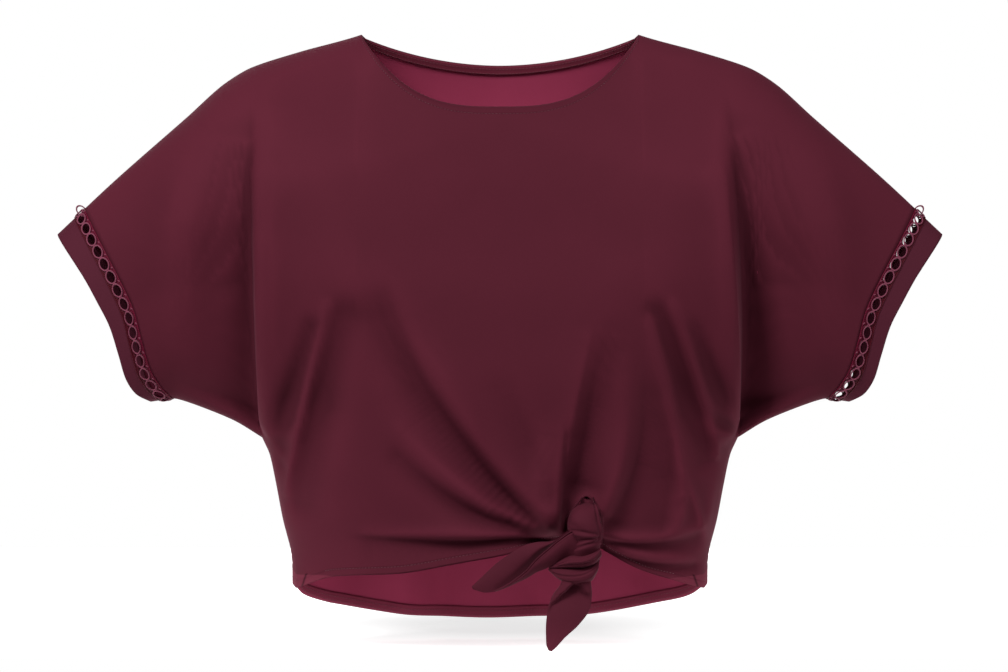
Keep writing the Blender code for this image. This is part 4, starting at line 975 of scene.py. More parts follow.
def crepe_material(name, colour, look, seam_lines=True, deep=0.0):
    """Soft matte crepe: a fine pebbled grain, faint mottling and a soft sheen.

    seam_lines says that its edges are stitched, with painted highlight on crests and painted shade in
    hollows; deep is how much painted shade darkens it far inside the sleeves.
    """
    shader = Shader(name)
    place = shader.place()
    mottle = shader.noise(place, 0.060, detail=3.0, roughness=0.55)
    grain = shader.noise(place, look.grain, detail=2.0, roughness=0.6)
    thread = shader.noise(place, look.grain * 0.45, detail=1.0)
    factor = 0.86 + mottle * 0.16 + grain * 0.10 + thread * 0.04
    normal = shader.bump(grain * 0.7 + thread * 0.3, look.grain * 0.12, strength=0.5)
    if seam_lines:
        neck, hem = shader.attribute("from_neck"), shader.attribute("from_hem")
        neck_line = shader.band(neck, look.neck_stitch, width=0.0011)
        line = neck_line + shader.band(hem, look.hem_stitch, width=0.0012)
        edge = shader.band(neck, 0.0, width=0.0016) + shader.band(hem, 0.0, width=0.0014)
        turned = shader.band(neck, look.neck_stitch / 2, width=look.neck_stitch / 2)
        factor = factor - line * 0.16 + edge * 0.22 - turned * 0.10
        # Painted highlight where the cloth stands out of its smoothed form, and painted shade where it sinks
        # in
        stand = shader.clamped(shader.attribute("stand") / (2.0 * RELIEF_FULL) + 0.5) - 0.5
        factor = factor + stand * (2.0 * RELIEF_PAINTED_LIGHT)
        pucker = shader.noise(place, 0.0045, detail=1.0)
        near_neck = shader.band(neck, look.neck_stitch, width=0.0045)
        near = near_neck + shader.band(hem, look.hem_stitch, width=0.0050)
        height = 0.0 - line + near * pucker * 0.8
        normal = shader.bump(height, 0.00040, strength=0.7, Normal=normal)
        corner = shader.out_from_middle(place) * LIGHT_CORNER_SLOPE - hem + LIGHT_CORNER_START
        corner = shader.clamped(corner / LIGHT_CORNER_SOFT) * shader.clamped(hem / HEM_EDGE_SOFT)
        factor = factor + corner * LIGHT_CORNER_TINT
        seam_line = shader.out_from_middle(place) + hem * SIDE_SEAM_SLANT
        seam = shader.band(seam_line, SIDE_SEAM_OUT, width=SIDE_SEAM_WIDTH)
        low = shader.clamped(hem / HEM_EDGE_SOFT) * shader.clamped((SIDE_SEAM_SHOWS - hem) / SIDE_SEAM_SOFT)
        factor = factor - seam * low * SIDE_SEAM_TINT
    # Painted shade: the cloth is darker far out inside the sleeves
    if deep:
        out = shader.out_from_middle(place)
        factor = factor * (1.0 - shader.clamped((out - DEEP_FROM) / DEEP_REACH) * deep)
    shader.set(Base_Color=shader.tinted(colour, factor), Roughness=look.roughness, Normal=normal)
    shader.set(Sheen_Weight=look.sheen, Sheen_Roughness=0.28, Sheen_Tint=(1.0, 0.45, 0.58, 1.0))
    shader.set(Specular_IOR_Level=0.025)
    return shader.material


def cord_material(name, colour, look, winds):
    """Corded thread, wound round and round: fine ridges across the cord, which its UV map follows."""
    shader = Shader(name)
    uv = shader.add("ShaderNodeUVMap", {"uv_map": "cord"}, {})
    around, travel = shader.add("ShaderNodeSeparateXYZ", {}, {0: uv}, 0, 1)
    ridge = shader.maths("SINE", (travel / winds + around) * math.tau) * 0.5 + 0.5
    grain = shader.noise(shader.place(), 0.0006, detail=1.0)
    factor = 0.78 + ridge * 0.34 + grain * 0.10
    normal = shader.bump(ridge * 0.8 + grain * 0.2, 0.00018, strength=0.8)
    shader.set(Base_Color=shader.tinted(colour, factor), Roughness=look.cord_roughness, Normal=normal)
    shader.set(Specular_IOR_Level=0.12)
    return shader.material


def thread_material(name, colour, look):
    """Sewing thread: a little shinier than the cloth, with a fine twist."""
    shader = Shader(name)
    grain = shader.noise(shader.place(), 0.0004, detail=1.0)
    shader.set(Base_Color=shader.tinted(colour, 0.85 + grain * 0.30), Roughness=0.55)
    normal = shader.bump(grain, 0.00005, strength=0.5)
    shader.set(Normal=normal, Sheen_Weight=look.sheen, Specular_IOR_Level=0.4)
    return shader.material


# Each material's maker, the setting that holds its colour, and what else its maker takes
MATERIALS = {
    "crepe outside": (crepe_material, "outside"),
    "crepe inside": (crepe_material, "inside", False, PAINTED_SLEEVE_SHADE),
    "crepe hem": (crepe_material, "hem_band", False),
    "crepe band": (crepe_material, "band", False),
    "crepe knot": (crepe_material, "knot", False),
    "crepe cuff": (crepe_material, "cuff", False),
    "ring cord": (cord_material, "ring", 0.0009),
    "side cord": (cord_material, "side_cord", 0.0016),
    "cuff cord": (cord_material, "cuff_cord", 0.0016),
    "thread": (thread_material, "thread"),
}


def settings():
    return bpy.context.scene.blouse


def material_called(name):
    """A cloth or cord material, made the first time that it is asked for."""
    found = bpy.data.materials.get(name)
    if found is None:
        make, colour, *more = MATERIALS[name]
        found = make(name, getattr(settings(), colour), settings(), *more)
    return found


def sheet_mesh(grid, cells=None, values=None, weld=False, uv=None):
    """A grid of faces laid on these points, without the cells that aren't cloth."""
    rows, columns = grid.shape[:2]
    made = bmesh.new()
    bmesh.ops.create_grid(made, x_segments=columns - 1, y_segments=rows - 1, size=1.0)
    scale = np.array([columns - 1, rows - 1])
    spare = []
    if cells is not None:
        centres = np.array([face.calc_center_median()[:2] for face in made.faces])
        at = np.floor((centres + 1.0) / 2.0 * scale).astype(int)
        spare = [face for face, (column, row) in zip(made.faces, at) if not cells[row, column]]
    places = np.array([vert.co[:2] for vert in made.verts])
    at = np.rint((places + 1.0) / 2.0 * scale).astype(int)
    layers = [(made.verts.layers.float.new(name), value) for name, value in (values or {}).items()]
    for vert, (column, row) in zip(made.verts, at):
        vert.co = grid[row, column]
        for layer, value in layers:
            vert[layer] = value[row, column]
    if uv is not None:
        layer = made.loops.layers.uv.new("cord")
        for face in made.faces:
            for loop in face.loops:
                column, row = at[loop.vert.index]
                loop[layer].uv = (uv[0][row, column], uv[1][row, column])
    bmesh.ops.delete(made, geom=spare, context="FACES")
    if weld:
        bmesh.ops.remove_doubles(made, verts=made.verts, dist=SAME_PLACE)
    return made


def point_out(made, centre=None, way=None):
    """Turns the faces so that they look away from a centre, or along a way."""
    bmesh.ops.recalc_face_normals(made, faces=made.faces)
    made.normal_update()
    total = 0.0
    for face in made.faces:
        heading = way if way is not None else face.calc_center_median() - centre
        total += face.normal.dot(heading) * face.calc_area()
    if total < 0.0:
        bmesh.ops.reverse_faces(made, faces=made.faces)


def close_up(made):
    """Fills the open ends of a rolled or wound piece, with its faces outwards."""
    bmesh.ops.holes_fill(made, edges=[edge for edge in made.edges if edge.is_boundary])
    bmesh.ops.recalc_face_normals(made, faces=made.faces)


def new_object(name, made, materials):
    """Makes the shape a smooth object in the scene."""
    mesh = bpy.data.meshes.new(name)
    made.to_mesh(mesh)
    made.free()
    mesh.shade_smooth()
    for material in materials:
        mesh.materials.append(material)
    piece = bpy.data.objects.new(name, mesh)
    bpy.context.scene.collection.objects.link(piece)
    return piece


def new_piece(name, made, materials, replaced=(), thickness=0.0):
    """Makes the shape a piece of the blouse that rides on its one body.

    A thickness gives a shell its cloth towards the inside, with the second material on the wrong side.
    """
    piece = new_object(name, made, map(material_called, materials))
    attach(piece, "root")
    if replaced:
        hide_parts(*replaced)
    if thickness:
        solid = piece.modifiers.new("cloth", "SOLIDIFY")
        solid.thickness = thickness
        solid.offset = -1.0
        solid.use_even_offset = False
        solid.material_offset = 1
        solid.material_offset_rim = 0
    return piece


def stitch_run(name, line, normals):
    """A row of stitches along a line of points that lies on the cloth."""
    look, run, made = settings(), lengths_along(line), bmesh.new()
    count = int(run[-1] / look.stitch_pitch)
    at = (np.arange(count) + 0.5) * run[-1] / count
    ahead = places_at(at + look.stitch_pitch / 4, run, line)
    half = (look.stitch_length / 2, look.thread_width / 2, look.thread_width / 2)
    for centre, forward, normal in zip(places_at(at, run, line), ahead, places_at(at, run, normals)):
        x_way = Vector(forward - centre).normalized()
        z_way = Vector(normal).normalized()
        y_way = z_way.cross(x_way).normalized()
        turn = Matrix((x_way, y_way, x_way.cross(y_way))).transposed().to_4x4()
        place = Matrix.Translation(Vector(centre) + z_way * look.thread_width * STITCH_LIFT)
        matrix = place @ turn @ Matrix.Diagonal((*half, 1.0))
        bmesh.ops.create_uvsphere(made, u_segments=6, v_segments=4, radius=1.0, matrix=matrix)
    return new_piece(name, made, ["thread"])


def colour(name, thing, *default):
    """A colour that a user can change."""
    return FloatVectorProperty(
        name=name, description="Colour of the " + thing, subtype="COLOR", size=3, default=default)


def length(name, description, default):
    return FloatProperty(name=name, description=description, unit="LENGTH", default=default)


def share(name, description, default):
    return FloatProperty(
        name=name, description=description, subtype="FACTOR", default=default, min=0.0, max=1.0)


def power(name, description, default):
    return FloatProperty(name=name, description=description, unit="POWER", default=default)


class ClothSettings(bpy.types.PropertyGroup):
    """The blouse's cloth, sewing and trim."""

    outside: colour("Outside", "cloth's right side", 0.079, 0.0124, 0.0230)
    # The outside's crepe, a little darker as painted shade on the knot and tie ends
    knot: colour("Knot", "knot and the tie ends", 0.073, 0.0122, 0.0222)
    # Much lighter than the outside, as painted light on the inside of the blouse
    inside: colour("Inside", "cloth's wrong side", 0.295, 0.0365, 0.0835)
    # Lighter than the outside crepe, as painted light on the shaded facing inside the back neck
    band: colour("Neck band", "facing inside the back neck", 0.140, 0.0220, 0.0400)
    ring: colour("Rings", "ring cord", 0.200, 0.0480, 0.0820)
    side_cord: colour("Side cord", "cord on the rings' sleeve side", 0.112, 0.0046, 0.0215)
    # Darker than the side cord, as painted shade between the rings and the cuff
    cuff_cord: colour("Cuff cord", "cord on the rings' cuff side", 0.062, 0.0026, 0.0090)
    cuff: colour("Cuffs", "turned cuffs", 0.078, 0.0150, 0.0270)
    # Lighter than the outside crepe, as painted light on the shaded hem inside the back
    hem_band: colour("Hem band", "turned hem inside the back", 0.190, 0.0290, 0.0560)
    thread: colour("Thread", "stitches", 0.112, 0.0240, 0.0400)
    roughness: share("Roughness", "Roughness of the crepe", 0.72)
    cord_roughness: share("Cord roughness", "Roughness of the cord", 0.55)
    sheen: share("Sheen", "Soft light along the cloth's edges", 0.10)
    grain: length("Grain", "Size of the crepe's pebbles", 0.0011)
    thickness: length("Thickness", "Thickness of one layer of crepe", 0.0006)
    neck_turn: length("Neck turn", "Depth of the turned neck edge", 0.0075)
    hem_turn: length("Hem turn", "Depth of the turned hem", 0.0095)
    neck_stitch: length("Neck stitches", "Distance of the stitches from the neck edge", 0.0062)
    hem_stitch: length("Hem stitches", "Distance of the stitches from the hem", 0.0058)
    stitch_pitch: length("Stitch pitch", "Distance from stitch to stitch", 0.0028)
    stitch_length: length("Stitch length", "Length of a stitch", 0.0020)
    thread_width: length("Thread width", "Thickness of the thread", 0.00042)
    turn_rows: IntProperty(
        name="Turn rows", description="Rows of faces in a turned edge", default=6, min=3, max=20)
    cuff_thickness: length("Cuff thickness", "Thickness of the doubled cuff", 0.0017)
    rings_per_half: IntProperty(
        name="Rings", description="Rings in each half of a sleeve's trim", default=17, min=1, max=60)
    ring_width: length("Ring width", "Width of a ring across the trim", 0.0090)
    cord_width: length("Ring cord", "Thickness of the ring's cord", 0.00118)
    side_cord_width: length("Side cord", "Thickness of the cords beside the rings", 0.0012)


class StageSettings(bpy.types.PropertyGroup):
    """The pale floor, the lights and the camera."""

    floor_drop: length("Floor", "Gap between the blouse and the floor", 0.0030)
    camera_distance: length("Camera distance", "From the camera to the seams' plane", 3.5)
    camera_height: length("Camera height", "Height of the camera", -0.246)
    camera_out: length("Camera place", "Place of the camera across", 0.0033)
    lens: FloatProperty(name="Lens", description="Focal length in millimetres", default=152.4)
    key_power: power("Key light", "Power of the large light in front", 97.0)
    fill_power: power("Fill light", "Power of the light on the right", 42.0)
    back_power: power("Back light", "Power of the light behind the blouse", 20.0)
    rim_power: power("Rim lights", "Power of the light on each side", 9.0)
    surround: FloatProperty(name="Surround", description="Strength of the light all round", default=0.120)
    # Strength of the painted shadow on the paper under the hem
    contact: share("Contact", "How much darker the paper is right under the hem", 0.40)


class BlouseOperator(bpy.types.Operator):
    """Builds one group of the blouse's pieces."""

    bl_options = {"REGISTER", "UNDO"}

    def lay_panel(self, side, way):
        """A panel's shell as a piece."""
        made = panel_called(side).mesh(settings())
        point_out(made, way=way)
        materials = ("crepe outside", "crepe inside", "crepe hem")
        return new_piece(side + "_cloth", made, materials, [side], thickness=settings().thickness)


class BLOUSE_OT_front(BlouseOperator):
    """Lay the front, with its sleeves, turned neck edge and turned hem."""

    bl_idname = "blouse.front"
    bl_label = "Front"

    def execute(self, context):
        piece = self.lay_panel("front", FRONTWARDS)
        return {"FINISHED"}


class BLOUSE_OT_back(BlouseOperator):
    """Lay the back, with its sleeves, turned neck edge and turned hem."""

    bl_idname = "blouse.back"
    bl_label = "Back"

    def execute(self, context):
        piece = self.lay_panel("back", -FRONTWARDS)
        return {"FINISHED"}


class BLOUSE_OT_slit_edge(BlouseOperator):
    """Roll the narrow hem round the slit over the knot."""

    bl_idname = "blouse.slit_edge"
    bl_label = "Slit edge"

    STEPS = 90
    SIDES = 10
    RADIUS = 0.0011
    INSET = 0.0004
    LIFT = 0.0002
    ENDS = (0.04, 0.96)

    def execute(self, context):
        centres = front_point(along(ARCH_LINE, np.linspace(*self.ENDS, self.STEPS + 1)))
        ahead = unit(np.gradient(centres, axis=0))
        outward = unit(np.cross(ahead, np.array(FRONTWARDS)))
        outward *= np.sign((outward * (centres - centres.mean(axis=0))).sum())
        up = np.cross(outward, ahead)
        up *= np.sign(-up[self.STEPS // 2, 1])
        turns = np.linspace(0.0, math.tau, self.SIDES + 1)[None, :, None]
        ring = np.cos(turns) * outward[:, None] + np.sin(turns) * up[:, None]
        grid = (centres + self.INSET * outward + self.LIFT * up)[:, None] + self.RADIUS * ring
        made = sheet_mesh(grid, weld=True)
        close_up(made)
        new_piece("slit_edge", made, ["crepe knot"])
        return {"FINISHED"}


class BLOUSE_OT_neck_facing(BlouseOperator):
    """Line the back neckline with its narrow facing."""

    bl_idname = "blouse.neck_facing"
    bl_label = "Neck facing"

    FROM_EDGE = 0.0002
    DEPTH = 0.0078
    ROWS = 8
    CLEAR = 0.0002

    def execute(self, context):
        thickness, back = settings().thickness, panel_called("back")
        inside = LAYERS_INSIDE * thickness + 2.0 * self.CLEAR
        rows = []
        for distance in np.linspace(self.FROM_EDGE, self.DEPTH, self.ROWS):
            line, up = back.line(back.neck, back.from_top, distance)
            rows.append(line - inside * up)
        made = sheet_mesh(np.array(rows))
        point_out(made, way=FRONTWARDS)
        piece = new_piece(
            "neck_facing_cloth", made, ["crepe band"] * 2, ["back_neck_facing"], thickness)
        return {"FINISHED"}


class BLOUSE_OT_cuffs(BlouseOperator):
    """Turn up both cuffs, each one loop of doubled cloth."""

    bl_idname = "blouse.cuffs"
    bl_label = "Cuffs"

    COLUMNS = 96
    ROWS = 12
    EDGE_ROUND = 0.00055

    def ring(self, side, share):
        """A line all round the sleeve, at a share of the way from the trim to the cuff's edge."""
        top_out = CUFF_START + (CUFF_EDGE - CUFF_START) * share
        ends = sleeve_line(side, top_out, UNDER_CUFF_START * (1.0 - share))
        halves = [place(even_column(*ends, self.COLUMNS, place)) for place in (front_point, back_point)]
        return np.vstack([halves[0][:-1], halves[1][:0:-1]])

    def execute(self, context):
        for name, side in SIDES:
            outer = np.array([self.ring(side, share) for share in np.linspace(0.0, 1.0, self.ROWS + 1)])
            normals = normals_of(outer, ring=True)
            centre = outer.mean(axis=(0, 1))
            normals *= np.sign(((outer - centre) * normals).sum())
            inner = outer - settings().cuff_thickness * normals
            ends = unit(np.array([outer[0] - outer[1], outer[-1] - outer[-2]]))
            first, last = ((outer[k] + inner[k]) / 2 + ends[k] * self.EDGE_ROUND for k in (0, -1))
            loop = np.vstack([first[None], outer, last[None], inner[::-1], first[None]])
            made = sheet_mesh(np.concatenate([loop, loop[:, :1]], axis=1), weld=True)
            point_out(made, centre=Vector(centre))
            if made.calc_volume(signed=True) < 0.0:
                bmesh.ops.reverse_faces(made, faces=made.faces)
            piece = new_piece(name + "_cuff_cloth", made, ["crepe cuff"], [name + "_cuff"])
        return {"FINISHED"}


class TrimStrip:
    """One half of a sleeve's trim as a surface: travel down the sleeve's end, across it, and lift off it."""

    SAMPLES = 360
    LINES = 9
    MIDDLE = 4

    def __init__(self, side, place):
        fine = bunched()
        start = sleeve_line(side, TRIM_START, UNDER_TRIM_START)
        run = lengths_along(place(column_line(*start, fine)))
        self.length = run[-1]
        self.travel = np.linspace(0.0, self.length, self.SAMPLES + 1)
        shares = np.interp(self.travel, run, fine)
        near = column_line(*start, shares)
        far = column_line(*sleeve_line(side, TRIM_END, UNDER_TRIM_END), shares)
        self.points = place(near + (far - near) * np.linspace(0.0, 1.0, self.LINES)[:, None, None])
        self.normals = normals_of(self.points)
        middle = self.points.mean(axis=(0, 1))
        middle[1] = 0.0
        self.normals *= np.sign(((self.points - middle) * self.normals).sum())
        self.normals[:, [0, -1], 1] = 0.0
        self.normals = unit(self.normals)

    def half_width(self, travel):
        """Half the strip's width at these distances down it."""
        half = np.linalg.norm(self.points[-1] - self.points[0], axis=1) / 2
        return np.interp(travel, self.travel, half)

    def lay(self, places):
        """Sets places, as (across from the middle, travel, lift) in metres, on the surface."""
        travel = np.clip(places[:, 1] / self.length, 0.0, 1.0) * self.SAMPLES
        low = np.minimum(travel.astype(int), self.SAMPLES - 1)
        part = (travel - low)[:, None]

        def at(table, row):
            return table[row, low] * (1.0 - part) + table[row, low + 1] * part

        near, far, middle = (at(self.points, row) for row in (0, -1, self.MIDDLE))
        way = (far - near) / np.linalg.norm(far - near, axis=1)[:, None]
        normal = at(self.normals, self.MIDDLE)
        down = np.cross(way, normal)
        past = places[:, 1] - np.clip(places[:, 1], 0.0, self.length)
        ahead = np.gradient(self.points[self.MIDDLE], axis=0)[low]
        down *= np.sign((down * ahead).sum(1))[:, None]
        return middle + way * places[:, :1] + down * past[:, None] + normal * places[:, 2:3]


class BLOUSE_OT_trim(BlouseOperator):
    """Join corded rings into the trim between each sleeve and its cuff."""

    bl_idname = "blouse.trim"
    bl_label = "Ring trim"

    RING_STEPS = 22
    CORD_SIDES = 8
    LIFT = 0.0009
    ODD_RING_LIFT = 0.35
    OVERLAP = 1.07
    WEB_STEPS = 14
    WEB_LIFT = -0.0002
    WEB_THICK = 0.0011
    WEB_UNDER = 0.0007
    WEB_NARROW = 0.90
    WEB_CLOSE = 0.16
    WEB_LEAST = 0.0003
    EDGE_STEPS = 4
    EDGE_LIFT = 0.4
    TOP_RING_RISE = 0.0004
    TOP_RING_IN = 0.0008
    TOP_RING_SIZE = 0.85
    PICOT_SIZE = (0.0006, 0.0013, 0.0005)
    PICOT_LIFT = 0.8
    PICOT_TURN = 0.5
    # By a ring's number from the top: its width as a share of the widest, and how pointed its two ends are
    RING_WIDTHS = ((6, 9, 12, 15), (1.0, 0.86, 0.84, 0.98))
    RING_POINTS = ((2, 6, 9, 13), (0.0, 0.20, 0.45, 0.35))

    def rings(self, strip, look, count):
        """The first rings of a half, flat, with its cord's UV map; the lower rings are narrow and pointed."""
        pitch = strip.length / look.rings_per_half
        made = bmesh.new()
        layer = made.loops.layers.uv.new("cord")
        reach = (look.ring_width - look.cord_width) / 2
        circle = bmesh.ops.create_circle(
            made, segments=self.CORD_SIDES, radius=look.cord_width / 2,
            matrix=Matrix.Translation((reach, 0.0, 0.0)) @ Matrix.Rotation(math.pi / 2, 4, "X"))
        bmesh.ops.spin(
            made, geom=circle["verts"] + list(made.edges), cent=(0.0, 0.0, 0.0), axis=(0.0, 0.0, 1.0),
            angle=math.tau, steps=self.RING_STEPS, use_merge=True, use_duplicate=False)
        bmesh.ops.remove_doubles(made, verts=made.verts, dist=SAME_PLACE)

        def turns(place):
            """How far round the ring and round its cord a place lies."""
            return (math.atan2(place.y, place.x), math.atan2(place.z, math.hypot(place.x, place.y) - reach))

        for face in made.faces:
            middle = turns(face.calc_center_median())
            for loop in face.loops:
                here, beside = (turn + math.tau * round((face_turn - turn) / math.tau)
                                for turn, face_turn in zip(turns(loop.vert.co), middle))
                loop[layer].uv = (beside / math.tau, here * reach)
        half = pitch * self.OVERLAP / 2
        for vert in made.verts:
            vert.co.y *= 2.0 * half / look.ring_width
        first = list(made.verts) + list(made.edges) + list(made.faces)
        for number in range(1, count):
            copied = bmesh.ops.duplicate(made, geom=first)["geom"]
            verts = [item for item in copied if isinstance(item, bmesh.types.BMVert)]
            for vert in verts:
                point = 1.0 - np.interp(number, *self.RING_POINTS) * (abs(vert.co.y) / half) ** 3
                vert.co.x *= np.interp(number, *self.RING_WIDTHS) * point
            lift = self.LIFT * (number % 2) * self.ODD_RING_LIFT
            bmesh.ops.translate(made, verts=verts, vec=(0.0, number * pitch, lift))
        bmesh.ops.translate(made, verts=made.verts, vec=(0.0, pitch / 2, self.LIFT))
        return made

    def cord(self, strip, look, side, steps, shape):
        """A cord laid down the strip. The shape says its middle and half width across, and its lift."""
        steps *= look.rings_per_half
        travel = np.linspace(0.0, strip.length, steps + 1)
        turns = np.arange(self.CORD_SIDES + 1) / self.CORD_SIDES
        around = turns[None] * math.tau
        middle, half, lift = shape(strip, look, travel, np.sin(around))
        down = np.repeat(travel[:, None], len(turns), axis=1)
        grid = np.stack([side * (middle[:, None] + half * np.cos(around)), down, lift + 0.0 * down], axis=-1)
        return sheet_mesh(grid, weld=True, uv=(np.tile(turns, (steps + 1, 1)), down))

    def web(self, strip, look, travel, rise):
        """Cord worked in between the rings and an edge, as wide as the gap there."""
        pitch = strip.length / look.rings_per_half
        number = np.minimum((travel / pitch).astype(int), look.rings_per_half - 1)
        share = np.abs(travel - (number + 0.5) * pitch) / (pitch * self.OVERLAP / 2)
        width = look.ring_width / 2 * np.interp(number, *self.RING_WIDTHS)
        ring = width * np.sqrt(np.maximum(1.0 - share**2, 0.0))
        ring = ring * (1.0 - np.interp(number, *self.RING_POINTS) * share**3)
        inner = np.maximum(ring * self.WEB_NARROW, look.ring_width / 2 * self.WEB_CLOSE)
        outer = strip.half_width(travel) + self.WEB_UNDER
        half = np.maximum((outer - inner) / 2, self.WEB_LEAST)[:, None]
        return (outer + inner) / 2, half, self.WEB_LIFT + self.WEB_THICK / 2 * rise

    def edge_cord(self, strip, look, travel, rise):
        """The straight cord that lies along an edge of the trim."""
        radius = look.side_cord_width / 2
        return strip.half_width(travel), radius, radius * (self.EDGE_LIFT + rise)

    def top_ring(self, strip, look):
        """One ring that stands up at the top of the sleeve, facing the front."""
        made = self.rings(strip, look, 1)
        top = strip.points[:, 0]
        way = Vector(top[-1] - top[0]).normalized()
        up = FRONTWARDS.cross(way).normalized()
        up = up if up.z > 0.0 else -up
        turn = Matrix((way, up, FRONTWARDS)).transposed().to_4x4()
        middle = Vector(top[3]) + up * self.TOP_RING_RISE - way * self.TOP_RING_IN
        shift = Matrix.Translation((0.0, -strip.length / look.rings_per_half / 2, 0.0))
        size = Matrix.Diagonal((self.TOP_RING_SIZE, self.TOP_RING_SIZE, 1.0, 1.0))
        bmesh.ops.transform(made, verts=made.verts, matrix=Matrix.Translation(middle) @ turn @ size @ shift)
        return made

    def picots(self, strip, look, out):
        """Small loops of cord between the rings, on the sleeve's side."""
        pitch = strip.length / look.rings_per_half
        made = bmesh.new()
        for number in range(1, look.rings_per_half):
            place = Matrix.Translation((out, number * pitch, self.LIFT * self.PICOT_LIFT))
            turned = place @ Matrix.Rotation(self.PICOT_TURN, 4, "Z")
            matrix = turned @ Matrix.Diagonal((*self.PICOT_SIZE, 1.0))
            bmesh.ops.create_uvsphere(made, u_segments=8, v_segments=5, radius=1.0, matrix=matrix)
        layer = made.loops.layers.uv.new("cord")
        for face in made.faces:
            for loop in face.loops:
                loop[layer].uv = (loop.vert.co.x / look.cord_width, loop.vert.co.y)
        return made

    def execute(self, context):
        look = settings()
        kinds = {"rings": "ring cord", "side_cords": "side cord", "cuff_cords": "cuff cord"}
        for name, side in SIDES:
            shapes = {kind: bmesh.new() for kind in kinds}
            for place in (front_point, back_point):
                strip = TrimStrip(side, place)
                flat = [("rings", self.rings(strip, look, look.rings_per_half)),
                        ("rings", self.picots(strip, look, -look.ring_width / 2))]
                for kind, edge in (("side_cords", -1.0), ("cuff_cords", 1.0)):
                    flat.append((kind, self.cord(strip, look, edge, self.WEB_STEPS, self.web)))
                    flat.append((kind, self.cord(strip, look, edge, self.EDGE_STEPS, self.edge_cord)))
                for kind, made in flat:
                    laid = strip.lay(np.array([vert.co[:] for vert in made.verts]))
                    for vert, point in zip(made.verts, laid):
                        vert.co = point
                if place is front_point:
                    flat.append(("rings", self.top_ring(strip, look)))
                for kind, made in flat:
                    mesh = bpy.data.meshes.new("strip")
                    made.to_mesh(mesh)
                    made.free()
                    shapes[kind].from_mesh(mesh)
                    bpy.data.meshes.remove(mesh)
            for kind, made in shapes.items():
                close_up(made)
                replaced = [name + "_trim_front", name + "_trim_back"] if kind == "rings" else []
                new_piece(f"{name}_trim_{kind}", made, [kinds[kind]], replaced)
        return {"FINISHED"}


def knot_plane():
    """Depth of the knot's plane, just clear of the cloth round the slit."""
    return front_point(ARCH_LINE)[:, 1].min() - KNOT_CLEAR


def section_lines(sections, steps):
    """Both edges of a piece of the knot along its length, and the sections' other values as columns."""
    lines = smooth_line([(s.x0, -s.d0, s.x1, -s.d1, *s[5:]) for s in sections], steps)
    return lines[:, None, 0:2], lines[:, None, 2:4], *lines[:, 4:].T[..., None]


class BLOUSE_OT_knot(BlouseOperator):
    """Roll the knot's standing loop and its two turns."""

    bl_idname = "blouse.knot"
    bl_label = "Knot"

    STEPS = 10
    SIDES = 72
    END_CLOSE = 0.02
    WELD = 0.00003

    def roll(self, name, sections, creases, replaced, behind=False):
        """A rolled piece: oval sections with creases pressed into them, closed at both ends.

        behind says that its top goes in behind the cloth above the slit.
        """
        first, second, front, back = section_lines(sections, self.STEPS)
        length = np.linspace(0.0, 1.0, len(first))[:, None]
        turn = np.linspace(0.0, 1.0, self.SIDES + 1)[None]
        angle = turn * math.tau
        flat = (first + second) / 2 - (second - first) / 2 * np.cos(angle)[..., None]
        lift = np.sin(angle)
        y = knot_plane() - lift * np.where(lift > 0, front, back)
        grid = np.stack([flat[..., 0], y, flat[..., 1]], axis=-1)
        rise = np.zeros(grid.shape[:2])
        for crease in creases:
            span = np.array([crease.along1 - crease.along0, crease.turn1 - crease.turn0])
            off = np.stack([length - crease.along0 + 0 * turn, turn - crease.turn0 + 0 * length], axis=-1)
            share = np.clip((off * span).sum(-1) / (span @ span), 0.0, 1.0)
            gap = np.linalg.norm(off - share[..., None] * span, axis=-1)
            rise += crease.rise * bell(gap, crease.width)
        normals = normals_of(grid)
        normals *= np.sign(-(normals[len(first) // 2, self.SIDES // 4, 1]))
        grid = grid + rise[..., None] * normals
        if behind:
            hidden = grid[..., 2] > -ARCH[3].down - SLIT_OVERLAP
            cloth = front_point(grid[..., ::2])[..., 1] + 2.0 * settings().thickness + SLIT_OVERLAP
            grid[..., 1] = np.where(hidden, np.maximum(grid[..., 1], cloth), grid[..., 1])
        for end in (0, -1):
            grid[end] = grid[end].mean(axis=0) + (grid[end] - grid[end].mean(axis=0)) * self.END_CLOSE
        made = sheet_mesh(grid, weld=True)
        bmesh.ops.remove_doubles(made, verts=made.verts, dist=self.WELD)
        close_up(made)
        return new_piece(name, made, ["crepe knot"], replaced)

    def execute(self, context):
        self.roll("knot_loop_cloth", KNOT_LOOP, LOOP_CREASES, ["knot_loop"], True)
        self.roll("knot_upper_cloth", KNOT_UPPER_WRAP, UPPER_CREASES, ["knot_upper_wrap"])
        self.roll("knot_lower_cloth", KNOT_LOWER_WRAP, LOWER_CREASES, ["knot_lower_wrap"])
        return {"FINISHED"}


